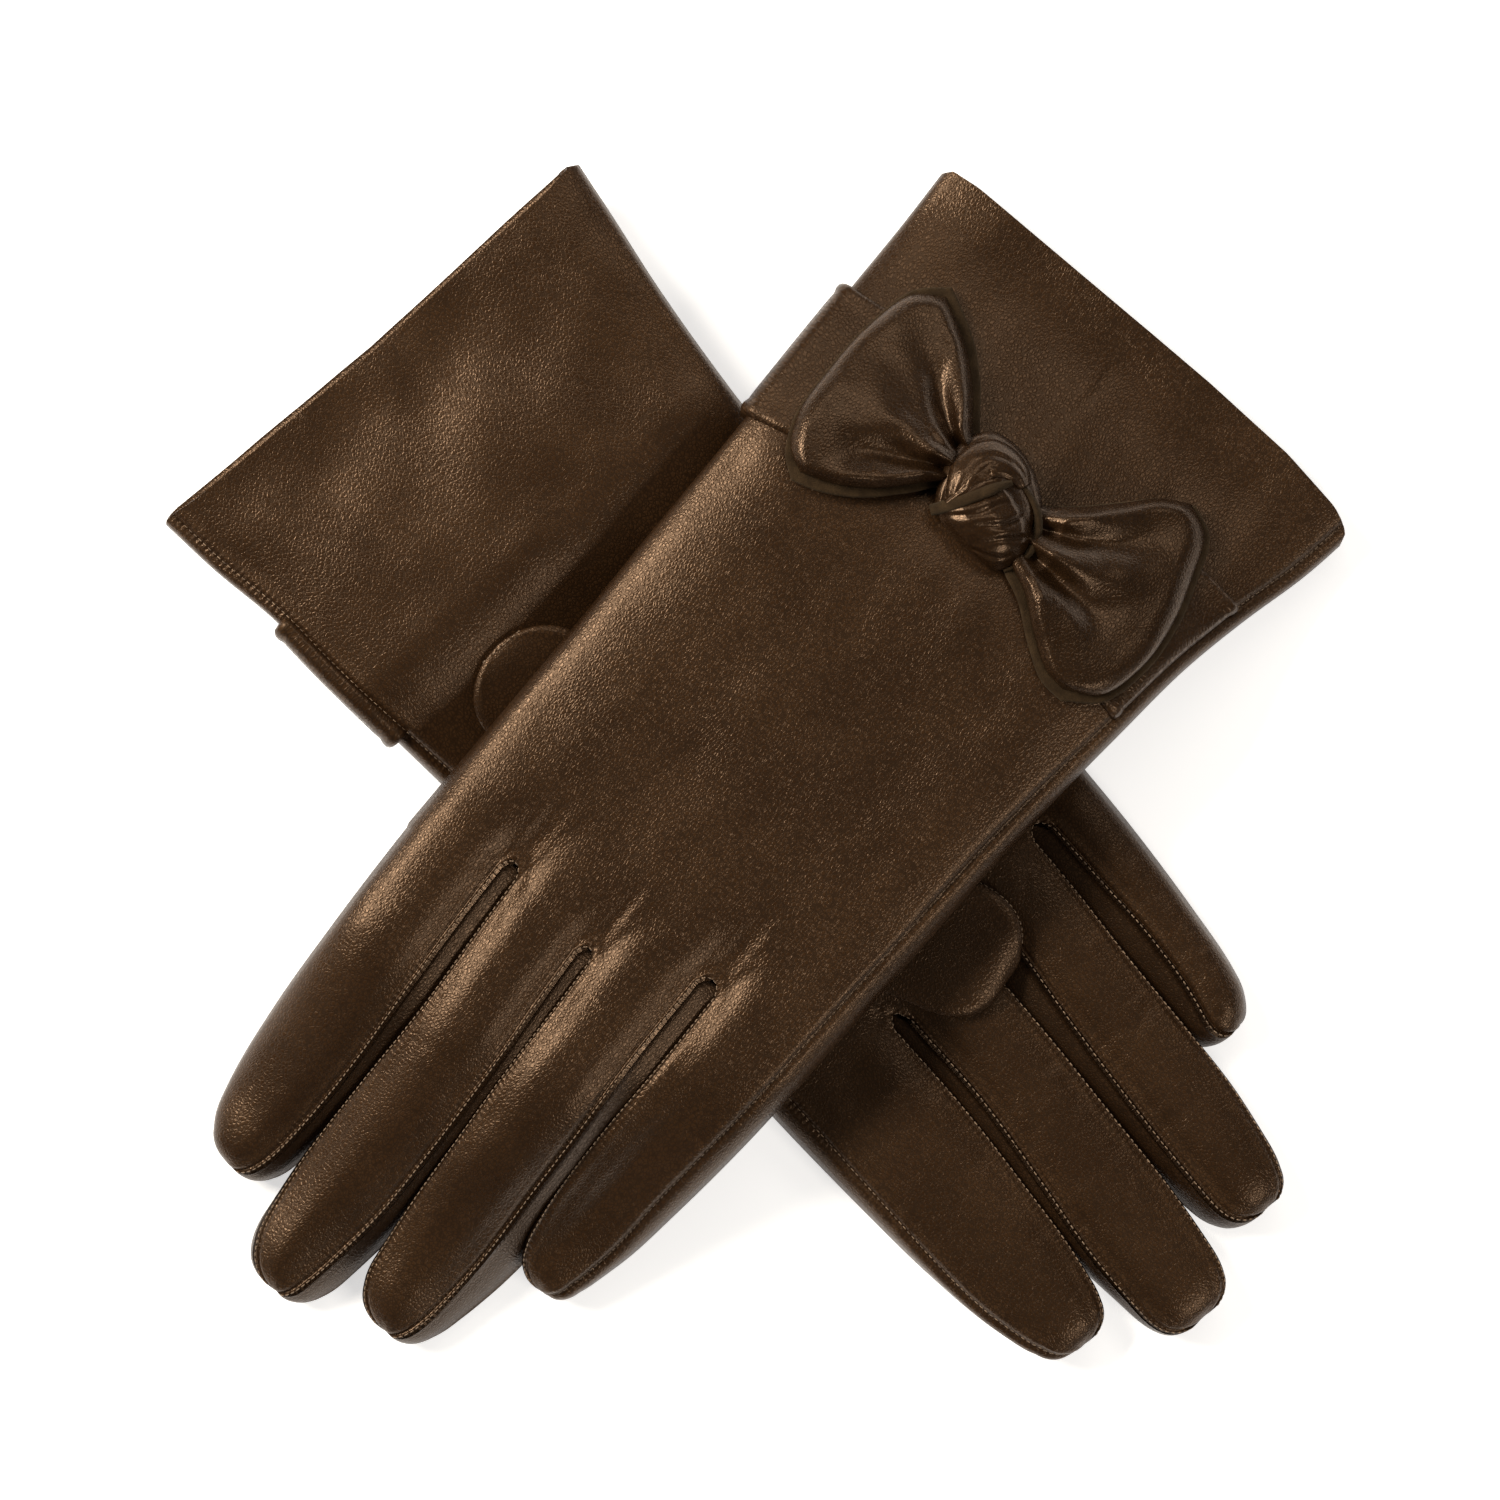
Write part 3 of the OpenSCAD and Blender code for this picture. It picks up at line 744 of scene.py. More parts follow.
def knit(name, dark, light):
    """Fine jersey lining: rows of small loops."""
    n = Nodes(name)
    rest = n.read("rest")
    split = n.add("ShaderNodeSeparateXYZ", {0: rest})
    ribs = n.math("SINE", n.math("MULTIPLY", split.outputs[0], 2 * math.pi / 0.8))
    loops = n.math("SINE", n.math("ADD", n.math("MULTIPLY", split.outputs[1], 2 * math.pi / 0.6), ribs))
    height = n.total((ribs, 0.08), (loops, 0.05), (n.noise(rest, 3.0, 3.0, 0.6), 0.1))
    return n.shade(Base_Color=n.mixed(n.ramp(height, -0.1, 0.2), dark, light), Roughness=0.9,
                   Specular_IOR_Level=0.2, Sheen_Weight=0.25, Normal=n.bump(height))


def thread(name, dark, light):
    """Twisted sewing thread."""
    n = Nodes(name)
    twist = n.add("ShaderNodeTexWave", {"Vector": n.read("rest"), "Scale": 1.3, "Distortion": 1.0},
                  bands_direction="DIAGONAL").outputs[1]
    return n.shade(Base_Color=n.mixed(twist, dark, light), Roughness=0.5, Sheen_Weight=0.15,
                   Normal=n.bump(twist, 0.05 * MM))


MATERIALS = {
    "glove_leather": leather("glove leather", (0.0225, 0.0099, 0.0036), (0.0345, 0.0163, 0.0064),
                             (0.075, 0.041, 0.020), 0.25),
    # The strips between the fingers are the panels' leather drawn darker: painted shade between the fingers
    "side_leather": leather("shaded side leather", (0.014, 0.0062, 0.0023), (0.021, 0.0100, 0.0040),
                            (0.055, 0.030, 0.015), 0.26),
    "band_leather": leather("band leather", (0.0210, 0.0092, 0.0034), (0.0310, 0.0147, 0.0058),
                            (0.075, 0.041, 0.020), 0.25),
    # The bow and knot are the glove's leather drawn darker: painted shade, with their own smoother finish
    "bow_leather": leather("shaded bow leather", (0.0160, 0.0070, 0.0025), (0.0245, 0.0116, 0.0045),
                           (0.075, 0.041, 0.021), 0.21, 0.8),
    "shaded_knot_leather": leather("shaded knot leather", (0.0165, 0.0072, 0.0026), (0.0250, 0.0118, 0.0046),
                            (0.080, 0.045, 0.024), 0.18, 0.4),
    # The suede's brown is drawn darker: painted shade from the wings over its strips
    "suede": suede("shaded suede flesh side", (0.026, 0.0145, 0.0060), (0.046, 0.0270, 0.0118)),
    "lining": knit("knit lining", (0.020, 0.0125, 0.009), (0.048, 0.032, 0.023)),
    "stitching": thread("sewing thread", (0.085, 0.050, 0.026), (0.30, 0.20, 0.12)),
}

# ---------------- pieces of a glove


def place(piece, hand, slot_name, *nodes, finger=None):
    """The piece rides the hand, or stays where it is drawn if it is a finger's, and shows in the CAD nodes'
    place.
    """
    if finger is None:
        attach(piece, f"{hand}_hand")
    else:
        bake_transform(piece)
    if nodes:
        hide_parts(*[f"{hand}_{node}" for node in nodes])


def leather_faces(glove, side, rows, k=None):
    """Faces of the leather that shows on one side of the hand or of finger k. The back's leather wraps
    the thumb's edge, and the palm's leather wraps the little finger's edge."""
    cells = np.zeros((TALL - 1, WIDE - 1), bool)
    lo, hi = (0, WIDE - 1) if k is None else SLICES[k]
    cells[rows, lo:hi] = True
    cells &= real_cells()
    first, last = slice(0, EDGE_COLUMNS), slice(WIDE - 1 - EDGE_COLUMNS, WIDE - 1)
    given, taken = (first, last) if side == BACK else (last, first)
    own, wrap = cells.copy(), np.zeros_like(cells)
    own[:, given] = False
    wrap[:, taken] = cells[:, taken]
    return np.concatenate([glove.faces[side][own], glove.faces[-side][wrap]])


def wall_faces(glove, k, from_row, to_row):
    """Faces of strip k whose path rows lie between two grid rows, split at the slit's middle."""
    rows = np.array(wall_path(k))[:, 0]
    cell = (np.maximum(rows[:-1], rows[1:]) <= to_row) & (np.minimum(rows[:-1], rows[1:]) >= from_row)
    below = np.arange(len(rows) - 1) < len(rows) // 2
    faces = glove.faces["wall", k]
    return [faces[cell & part].reshape(-1, 4) for part in (below, ~below)]


def capsule(sides=6, rings=5):
    """Unit stitch: a rounded rod along z from -1 to 1, radius 1 in x and y."""
    points, faces = [(0, 0, -1.0)], []
    for i in range(rings):
        a = -math.pi / 2 + math.pi * (i + 1) / (rings + 1)
        r = math.cos(a) ** 0.5
        for j in range(sides):
            t = 2 * math.pi * j / sides
            points.append((r * math.cos(t), r * math.sin(t), math.sin(a)))
    points.append((0, 0, 1.0))
    last = 1 + (rings - 1) * sides
    for j in range(sides):
        beside = (j + 1) % sides
        faces.append((0, 1 + beside, 1 + j))
        for a in range(1, last, sides):
            b = a + sides
            faces.append((a + j, a + beside, b + beside, b + j))
        faces.append((last + j, last + beside, len(points) - 1))
    return np.array(points), faces


def stitches(name, lines, long=0.44, radius=0.14):
    """Stitches along lines of (points, normals), all in one mesh."""
    unit_points, unit_faces = capsule()
    all_points, all_faces = [], []
    for points, normals in lines:
        far = np.concatenate([[0], np.cumsum(np.linalg.norm(np.diff(points, axis=0), axis=1))])
        if far[-1] < STITCH_PITCH:
            continue

        def at(places, values):
            return np.stack([np.interp(places, far, values[:, i]) for i in range(3)], -1)

        middle = np.arange(STITCH_PITCH / 2, far[-1], STITCH_PITCH)
        ahead, behind = np.minimum(middle + 0.3, far[-1]), np.maximum(middle - 0.3, 0)
        normal = unit(at(middle, normals))
        tangent = unit(at(ahead, points) - at(behind, points))
        side = unit(np.cross(tangent, normal))
        for c, t, s, m in zip(at(middle, points), tangent, side, normal):
            base = len(all_points) * len(unit_points)
            all_points.append(c + radius * (unit_points[:, :1] * s + unit_points[:, 1:2] * m)
                              + long * unit_points[:, 2:] * t)
            all_faces += [tuple(v + base for v in f) for f in unit_faces]
    points = np.concatenate(all_points)
    return new_object(name, points, all_faces, MATERIALS["stitching"], None, {"rest": points})


def glove_stitches(glove):
    """Seam threads: along every edge of the strips between the fingers, and along both side seams."""

    def line(ids):
        return glove.points[ids], glove.normals[ids]

    hand_lines, finger_lines = [], [[] for finger in FINGERS]
    for side in (BACK, PALM):
        ids = glove.ids[side]
        for k in range(3):
            right, left = SLICES[k][1], SLICES[k + 1][0]
            finger_lines[k].append(line(ids[CUT_ROW:-2, right]))
            finger_lines[k + 1].append(line(ids[CUT_ROW:-2, left]))
            down, up = ids[HAND_STEPS:CUT_ROW + 1, right][::-1], ids[HAND_STEPS:CUT_ROW + 1, left]
            hand_lines.append(line(np.concatenate([down, ids[HAND_STEPS, right + 1:left], up])))
    little, thumb_side = glove.ids[BACK][:, EDGE_COLUMNS], glove.ids[PALM][:, WIDE - 1 - EDGE_COLUMNS]
    for k, seam in ((0, little), (3, thumb_side)):
        hand_lines.append(line(seam[2:CUT_ROW + 1]))
        finger_lines[k].append(line(seam[CUT_ROW:-2]))
    place(stitches(f"{glove.hand}_hand_stitches", hand_lines), glove.hand, "stitching")
    for finger, lines in zip(FINGERS, finger_lines):
        place(stitches(f"{glove.hand}_{finger}_stitches", lines), glove.hand, "stitching", finger=finger)


def leather_pieces(glove):
    """Back, palm and finger leathers and the strips between them, cut from the welded skin."""

    def cut(name, faces, slot_name, node, finger=None):
        piece = shell(f"{glove.hand}_{name}", glove, faces, MATERIALS[slot_name])
        place(piece, glove.hand, slot_name, node, finger=finger)

    for side, word in ((BACK, "back"), (PALM, "palm")):
        faces = leather_faces(glove, side, slice(0, CUT_ROW))
        cut(f"{word}_leather", faces, "glove_leather", f"{word}_panel")
        for k, finger in enumerate(FINGERS):
            faces = leather_faces(glove, side, slice(CUT_ROW, TALL - 1), k)
            cut(f"{finger}_{word}_leather", faces, "glove_leather", f"{finger}_tip_{word}", finger)
    sides = [[] for finger in FINGERS]
    for k in range(3):
        name = f"fourchette_{FINGERS[k]}_{FINGERS[k + 1]}"
        faces = np.concatenate(wall_faces(glove, k, HAND_STEPS, CUT_ROW))
        cut(name + "_strip", faces, "side_leather", name)
        for beside, faces in zip((k, k + 1), wall_faces(glove, k, CUT_ROW, TALL - 1)):
            sides[beside].append(faces)
    for k, finger in enumerate(FINGERS):
        node = f"{finger}_tip_" + ("side" if k in (0, 3) else "sides")
        cut(f"{finger}_side_strips", np.concatenate(sides[k]), "side_leather", node, finger)


def tube(name, glove, rows, offset, thick, material):
    """A thin closed tube inside the hand, offset in from the leather's outer face."""
    ring = np.concatenate([glove.ids[BACK][rows], glove.ids[PALM][rows][:, -2:0:-1]], 1)
    p, n = glove.points[ring], glove.normals[ring]
    ids = np.arange(ring.size).reshape(ring.shape)
    beside = np.roll(ids, -1, 1)
    outer = ring_quads(ids)
    faces = outer.tolist() + (outer[:, ::-1] + ring.size).tolist()
    for row, order in ((0, 1), (-1, -1)):
        a, b = ids[row], beside[row]
        faces += np.stack([a, a + ring.size, b + ring.size, b], -1)[:, ::order].tolist()
    if glove.hand == "right":
        faces = [f[::-1] for f in faces]
    points = np.concatenate([(p - n * depth).reshape(-1, 3) for depth in (offset, offset + thick)])
    rest = np.concatenate([glove.rest[ring].reshape(-1, 3)] * 2)
    values = {"rest": rest, "seam": np.full(len(rest), SEAM_FAR), "run": rest[:, 1]}
    return new_object(name, points, faces, material, None, values)


def inner_pieces(glove):
    """The turned hem at the cuff's mouth, and the knit lining behind it."""
    hand = glove.hand
    hem = tube(f"{hand}_turned_hem", glove, np.arange(12), LEATHER + 0.03, 0.6, MATERIALS["glove_leather"])
    place(hem, hand, "glove_leather", "cuff_facing")
    rows = np.arange(8, HAND_STEPS - 1, 3)
    lining = tube(f"{hand}_knit_lining", glove, rows, LEATHER + 0.72, 0.5, MATERIALS["lining"])
    place(lining, hand, "lining", "lining")


def sweep_grid(name, upper, lower, material, values, flip):
    """Closed piece from an upper and a lower grid of points with the same plan."""
    ids = np.arange(upper[..., 0].size).reshape(upper.shape[:2])
    n = ids.size
    top = quads(ids, False).reshape(-1, 4)
    border = np.concatenate([ids[0, :], ids[1:, -1], ids[-1, -2::-1], ids[-2:0:-1, 0]])
    after = np.roll(border, -1)
    walls = np.stack([after, border, border + n, after + n], -1)
    faces = np.concatenate([top, top[:, ::-1] + n, walls])
    if flip:
        faces = faces[:, ::-1]
    points = np.concatenate([upper.reshape(-1, 3), lower.reshape(-1, 3)])
    both = {key: np.concatenate([v.reshape((-1,) + v.shape[2:])] * 2) for key, v in values.items()}
    return new_object(name, points, faces, material, None, both)


# Edges of the wrist band as (x, y), on the cuff's side and on the fingers' side
BAND_LOW = [(-50, -85.5), (-40, -86.5), (-30, -84), (-12, -75), (8, -75), (26, -84), (36, -86),
            (52, -83)]
BAND_HIGH = [(-50, -51.8), (-41, -53.5), (-32, -57), (-12, -66), (8, -66.5), (22, -59), (33, -54.5),
             (50, -50.3)]


def wrist_band(glove):
    """A strip of leather over the back of the wrist, from one side seam to the other, with folded edges.
    It narrows to the knot under the bow."""
    hand = glove.hand
    t = np.concatenate([[0, 0.012, 0.03, 0.055], np.linspace(0.09, 0.91, 15), [0.945, 0.97, 0.988, 1]])
    columns = [(BACK, j) for j in range(EDGE_COLUMNS, WIDE)]
    columns += [(PALM, j) for j in range(WIDE - 2, WIDE - 2 - EDGE_COLUMNS, -1)]
    count = len(columns)
    upper, lower, rest = (np.zeros((len(t), count, 3)) for part in range(3))
    seam = np.zeros((len(t), count))
    for i, (side, j) in enumerate(columns):
        panel = glove.panels[side]
        ids = glove.ids[side][:HAND_STEPS + 1, j]
        known_x, known_y = panel.x[:HAND_STEPS + 1, j], panel.y[:HAND_STEPS + 1, j]
        x = float(np.interp(-68, known_y, known_x)) if side == BACK else 50.0
        wave = 0.3 * noise(np.array([x / 7]), np.array([0.5]), 4)[0]
        low, high = along(BAND_LOW, x) - wave, along(BAND_HIGH, x) + wave
        y = mix(low, high, t)
        p, m = (np.stack([np.interp(y, known_y, values[ids, axis]) for axis in range(3)], -1)
                for values in (glove.points, glove.normals))
        m = unit(m)
        d = np.minimum(t, 1 - t) * (high - low)
        end = round_edge(min(i, count - 1 - i) * 1.1, 1.2)
        rolled = (0.9 + bell(j - (WIDE - 1), 3.5)) * round_edge(d, 0.8)
        thick = (rolled + 0.3 * bell(d - 1.5, 1.0) - 0.12 * bell(d - 3.2, 0.5)) * end
        upper[:, i] = p + m * (0.1 + thick[:, None])
        lower[:, i] = p + m * 0.04
        rest[:, i] = np.stack([np.interp(y, known_y, known_x), y, y * 0 + 40.0], -1)
        seam[:, i] = np.minimum(d + 0.9, SEAM_FAR)
    piece = sweep_grid(f"{hand}_wrist_band_leather", upper, lower, MATERIALS["band_leather"],
                       {"rest": rest, "seam": seam, "run": rest[:, :, 0]}, hand == "left")
    place(piece, hand, "band_leather", "wrist_band")


# Middle line of each thumb as (y, x): the lower glove's leans further over its palm
THUMB_ROOT = [(-51.5, 23.2), (-38, 23.2), (-24, 23), (-12, 21.6)]
THUMB_LINES = {
    "left": THUMB_ROOT + [(2, 17.8), (22, 11.2), (42, 4.8), (66.8, -3)],
    "right": THUMB_ROOT + [(2, 17.4), (22, 9.6), (42, 0.4), (52, -4.2), (65.8, -9.5)],
}
THUMB_WIDTHS = [(-52, 13.2), (-30, 13.8), (-10, 14.4), (20, 14.1), (45, 14.0), (67, 13.6)]
# Between the gloves there is less room over the left thumb's joint
THUMB_THICK = {"left": 3.9 * 0.74, "right": 3.9 * 0.94}
# Points round a thumb, and the one where its own seam runs
THUMB_ROUND = 56
THUMB_SEAM = 28


def thumb(glove):
    """The thumb lies folded on the palm: a flattened tube of leather, sewn into the palm at its root."""
    hand = glove.hand
    line = THUMB_LINES[hand]
    centre_x = table(line)
    first, last = line[0][0], line[-1][0]
    rows = np.concatenate([first + 12 * (1 - np.cos(np.linspace(0, math.pi / 2, 14))),
                           np.linspace(first + 12, last - 16, 62)[1:-1],
                           last - 16 + 16 * np.sin(np.linspace(0, math.pi / 2, 20))])
    y0 = rows[:, None]
    slope = (centre_x(y0 + 0.5) - centre_x(y0 - 0.5)) * ease(first, first + 14, y0)
    norm = np.hypot(1, slope)
    to_root, to_tip = y0 - first, last - y0
    width = along(THUMB_WIDTHS, y0) * round_edge(to_root, 11, 2.0) * round_edge(to_tip, 13.5, 2.6)
    turn = np.linspace(0, 2 * math.pi, THUMB_ROUND + 1)[:-1][None, :]
    c = np.sign(np.cos(turn)) * np.abs(np.cos(turn)) ** 0.9
    up = np.sign(np.sin(turn)) * np.abs(np.sin(turn)) ** 0.62
    high = THUMB_THICK[hand] * round_edge(to_root + 0.4, 15, 1.8) * round_edge(to_tip, 6, 2.0)
    high = high + 0.3 * bell(y0 + 12, 16)
    x = centre_x(y0) + c * width / norm
    y = y0 - c * width * slope / norm
    edge = (1 - np.abs(c)) * width
    seed = SEED[hand] + 60
    relief = 0.3 * rough_noise(x / 12, y / 16, seed, 2) + 0.25 * bell(edge - 1.8, 1.2)
    relief = relief - 0.55 * bell(c, 0.6) * bell(to_tip - 10, 9)
    relief = relief - 0.25 * creases(y / 3.0, x / 2.0, seed + 2, 6, 3) * bell(y0 - 22, 16)
    relief = relief * (up > 0) * round_edge(edge, 2.5) * round_edge(to_tip, 5) * round_edge(to_root, 5)
    middle = high * 0.46 + 0.1
    # The root sinks into the palm; the rest lies just clear of it
    h = np.maximum(middle + up * middle + relief, np.where(y0 > -20, 0.02, -0.5))
    palm_at = half_at(y) + THUMB_GAP + 0.15 * ease(-30, -50, y0)
    points = to_world(hand, x, y, -(palm_at + h))
    points[..., 2] = np.maximum(points[..., 2], FLOOR_GAP)
    ids = np.arange(x.size).reshape(x.shape)
    faces = ring_quads(ids)
    if hand == "left":
        faces = faces[:, ::-1]
    seam = np.minimum(to_root, np.where(np.abs(up) < 0.9, (c + 1) * width + 0.3, SEAM_FAR))
    values = {"rest": np.stack([x, y, h + 12], -1).reshape(-1, 3), "seam": seam.ravel(), "run": y.ravel()}
    piece = new_object(f"{hand}_thumb_leather", points.reshape(-1, 3), faces, MATERIALS["glove_leather"],
                       None, values)
    normals = unit(np.cross(np.gradient(points, axis=0), np.roll(points, -1, 1) - np.roll(points, 1, 1)))
    outward = points - points.mean(1, keepdims=True)
    normals *= np.sign((normals * outward).sum(-1, keepdims=True) + 1e-9)
    seam_line = points[10:-4, THUMB_SEAM], normals[10:-4, THUMB_SEAM]
    threads = [stitches(f"{hand}_thumb_seam_stitches", [seam_line], long=0.45),
               stitches(f"{hand}_thumb_root_stitches", [(points[3], normals[3])])]
    for obj in (piece, *threads):
        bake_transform(obj)
    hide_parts(f"{hand}_thumb_front", f"{hand}_thumb_rear", f"{hand}_thumb_base")


# ---------------- the bow

BAND_TOP = 1.35
# Each wing's edges from the knot outwards, on the cuff's side and on the fingers' side, and its outer
# edge between their ends. Valleys and the ridge are (place at the knot, place at the outer edge, mm).
# suede: how far the under side shows past the cuff's side, the fingers' side and the outer edge
WINGS = {
    "inner": {
        "cuff": [(5, -75), (9, -77.5), (14, -83.3), (21, -89.6), (26.5, -92.8), (31, -95)],
        "fingers": [(5, -67), (9, -65), (12, -61.7), (18, -55.6), (25, -51.2), (30.5, -49.3)],
        "outer": [(36, -91.5), (38.8, -82), (39.3, -69), (37.6, -56), (34.6, -51.3)],
        "valleys": [(0.46, 0.6, 4.2), (-0.36, -0.66, 4.4)],
        "ridge": (0.1, 0.08, 1.6),
        "height": [(0, 2), (0.12, 5.4), (0.22, 6.8), (0.35, 6.2), (0.6, 4.8), (0.85, 3.6), (1, 2.6)],
        "suede": (2.3, 2.4, 0.3),
        "seed": 90,
    },
    "outer": {
        "cuff": [(-6, -74), (-11, -75.8), (-15.5, -79.3), (-22.5, -86.4), (-28.5, -92.6), (-33, -95)],
        "fingers": [(-8, -64), (-13, -62.3), (-18, -60.2), (-26, -54.4), (-33, -50.4), (-37, -50)],
        "outer": [(-38.5, -92.5), (-42.6, -84), (-45.6, -74), (-46.3, -63), (-43.4, -53.6)],
        "valleys": [(-0.34, -0.56, 3.8), (0.36, 0.22, 4.4)],
        "ridge": (0.02, -0.14, 1.2),
        "height": [(0, 1), (0.15, 2.6), (0.27, 6), (0.4, 6.2), (0.6, 4.8), (0.85, 3.6), (1, 2.6)],
        "suede": (0.2, 2.2, 1.2),
        "seed": 130,
    },
}
VALLEY_DEPTH = [(0, 0.9), (0.12, 1), (0.4, 0.8), (0.7, 0.28), (0.9, 0)]
RIDGE_HEIGHT = [(0, 1), (0.3, 1), (0.6, 0.45), (0.85, 0)]


def curve(points, t):
    """Point at t from 0 to 1 along a smooth curve through the given points."""
    p = np.array(points, float)
    far = np.concatenate([[0], np.cumsum(np.linalg.norm(np.diff(p, axis=0), axis=1))])
    return np.stack([table(list(zip(far / far[-1], p[:, i])))(t) for i in range(p.shape[1])], -1)


def coons(low, high, first, last, s, t):
    """Point of the patch between four curves: s runs from first to last and t from low to high."""
    s2, t2 = s[..., None], t[..., None]
    corners = mix(*(mix(np.array(side[0]), np.array(side[-1]), s2) for side in (low, high)), t2)
    return mix(curve(low, s), curve(high, s), t2) + mix(curve(first, t), curve(last, t), s2) - corners


def wing_plan(wing, s, c, grow=(0, 0, 0)):
    """Place of (s, c) on a wing: s runs out from the knot, c from the cuff's side to the fingers' side.
    grow widens it by so many mm at those two sides and at the outer edge."""
    t = (c + 1) / 2
    cuff, fingers = wing["cuff"], wing["fingers"]
    outer = [cuff[-1], *wing["outer"], fingers[-1]]
    root = [cuff[0], tuple(np.mean([cuff[0], fingers[0]], 0)), fingers[0]]
    plan = coons(cuff, fingers, root, outer, s, t)
    across = unit(curve(fingers, s) - curve(cuff, s))
    s2, t2 = s[..., None], t[..., None]
    out = unit(np.array(outer[3]) - np.mean(root, 0))
    on_cuff, on_fingers, on_outer = grow
    start = ease(0, 0.2, s2)
    plan = plan - across * on_cuff * start * (1 - t2) ** 6 + across * on_fingers * start * t2 ** 6
    return plan + out * on_outer * s2 ** 8


def above_band(hand, plan, h):
    """Points h above the band, on the back of the wrist. The lower glove's bow is pressed flat."""
    x, y = plan[..., 0], plan[..., 1]
    if hand == "right":
        x = x * 0.93
        h = np.minimum(h, 7.4 - 0.8 * np.exp(-np.maximum(h, 0) / 3))
    points = to_world(hand, x, y, half_at(y) + BAND_TOP + h)
    points[..., 2] = np.maximum(points[..., 2], BOW_FLOOR_GAP)
    return points


def bow_piece(name, hand, upper, lower, plan, depth, material_name, *nodes, seam=SEAM_FAR, flip=None):
    """A piece of the bow between two grids of points. depth keeps its grain apart from the others'."""
    rest = np.concatenate([plan, (depth + 0 * plan[..., 0])[..., None]], -1)
    values = {"rest": rest, "seam": seam + 0 * plan[..., 0], "run": plan[..., 1]}
    flip = hand == "left" if flip is None else flip
    piece = sweep_grid(f"{hand}_{name}", upper, lower, MATERIALS[material_name], values, flip)
    place(piece, hand, "suede" if material_name == "suede" else "bow_leather", *nodes)


def bow_wing(hand, which):
    """One gathered loop of the bow, with the suede of its under side showing round it."""
    wing = WINGS[which]
    # The grid's lines lie closer together towards the edges
    reach = math.pi / 2 * 0.93
    t = np.sin(np.linspace(-reach, reach, 65)) / math.sin(reach)
    s = np.concatenate([np.linspace(0, 0.8, 44)[:-1], 0.8 + 0.2 * np.sin(np.linspace(0, math.pi / 2, 16))])
    s, c = np.meshgrid(s, t, indexing="ij")
    plan = wing_plan(wing, s, c)
    half_width = np.linalg.norm(wing_plan(wing, s, c * 0 + 1) - wing_plan(wing, s, c * 0 - 1), axis=-1) / 2
    side_edge = (1 - np.abs(c)) * half_width
    out_edge = (1 - s) * 34
    height = along(wing["height"], s)
    folds = 0
    for c0, c1, depth in wing["valleys"]:
        at = mix(c0, c1, ease(0, 0.9, s))
        folds = folds - depth * bell(c - at, mix(0.12, 0.24, s)) * along(VALLEY_DEPTH, s)
    c0, c1, tall = wing["ridge"]
    at = mix(c0, c1, ease(0, 1, s)) + 0.05 * np.sin(s * 7)
    folds = folds + tall * bell(c - at, mix(0.13, 0.2, s)) * along(RIDGE_HEIGHT, s)
    seed = SEED[hand] + wing["seed"]
    folds = folds + 0.45 * rough_noise(s * 4.5, c * 3.2, seed, 2) * ease(0, 0.3, s)
    folds = folds - 0.28 * creases(s * 30, c * 24 * (1.2 - s), seed + 3, 10, 3.2) * bell(s - 0.28, 0.24)
    rim = round_edge(side_edge, 2.6, 2.1) * round_edge(out_edge, 2.8, 2.1)
    bead = 0.15 * bell(side_edge - 2.2, 1.2) + 0.12 * bell(out_edge - 2.6, 1.4)
    h = (height + folds * ease(0, 3, out_edge) * ease(0, 5, height)) * rim + bead
    upper = above_band(hand, plan, np.maximum(h, 0.15) + 0.75)
    lower = above_band(hand, wing_plan(wing, s * 0.985, c * 0.97), 0.6 + 0 * h)
    if hand == "right":
        upper[..., 2] = np.minimum(upper[..., 2], lower[..., 2] - 0.1)
    seam = np.minimum(np.minimum(side_edge, out_edge) + 1.0, SEAM_FAR)
    flip = (which == "inner") == (hand == "left")
    bow_piece(f"bow_{which}_wing", hand, upper, lower, plan, h + 60, "bow_leather", f"bow_wing_{which}",
              seam=seam, flip=flip)
    # The loop's under side shows its suede past the edge
    plan = wing_plan(wing, s, c, wing["suede"])
    edge = np.minimum((1 - np.abs(c)) * (half_width + 2), (1 - s) * 36)
    fray = 0.12 * noise(plan[..., 0] * 1.3, plan[..., 1] * 1.3, seed + 7)
    h = 0.1 + (0.62 + fray) * round_edge(edge, 0.5) + 0.15 * bell(edge - 1.0, 1.0)
    bow_piece(f"bow_{which}_suede", hand, above_band(hand, plan, h), above_band(hand, plan, 0.02 + 0 * h),
              plan, 75, "suede", flip=flip)


def ribbon(name, hand, path, widths, crown, material_name, tilt=0.0, thick=1.1, grooves=(), across=25):
    """A strap of the knot. path gives (x, y, height above the band) along its middle line, widths gives
    (share of the way, mm), and each groove is (place across, mm deep, share of the way)."""
    t = np.linspace(0, 1, 70)
    line = curve(path, t)
    ahead = unit(np.gradient(line[:, :2], axis=0))
    side = np.stack([-ahead[:, 1], ahead[:, 0]], -1)
    half = along(widths, t)[:, None] / 2
    s, v = np.meshgrid(t, np.sin(np.linspace(-1, 1, across) * math.pi / 2), indexing="ij")
    plan = line[:, None, :2] + side[:, None] * (v * half)[..., None]
    edge = (1 - np.abs(v)) * half
    dome = crown * (1 - v**2)
    for groove_at, depth, reach in grooves:
        at = groove_at + 0.12 * np.sin(s * 5 + groove_at * 9)
        dome = dome - depth * bell(v - at, 0.07) * bell(s - reach, 0.33)
        dome = dome + 0.5 * depth * bell(v - at - 0.13, 0.1)
    dome = dome + 0.12 * rough_noise(s * 7, v * 2.5, len(f"{hand}_{name}") + path[0][0], 2)
    h = line[:, None, 2] + tilt * v * half + dome
    upper_h = h + thick * (round_edge(edge, 0.7) - 1)
    upper = above_band(hand, plan, upper_h)
    lower = above_band(hand, plan, np.minimum(h - thick, upper_h - 0.1))
    bow_piece(name, hand, upper, lower, plan, h + 90, material_name,
              seam=np.minimum(edge + 0.8, SEAM_FAR))


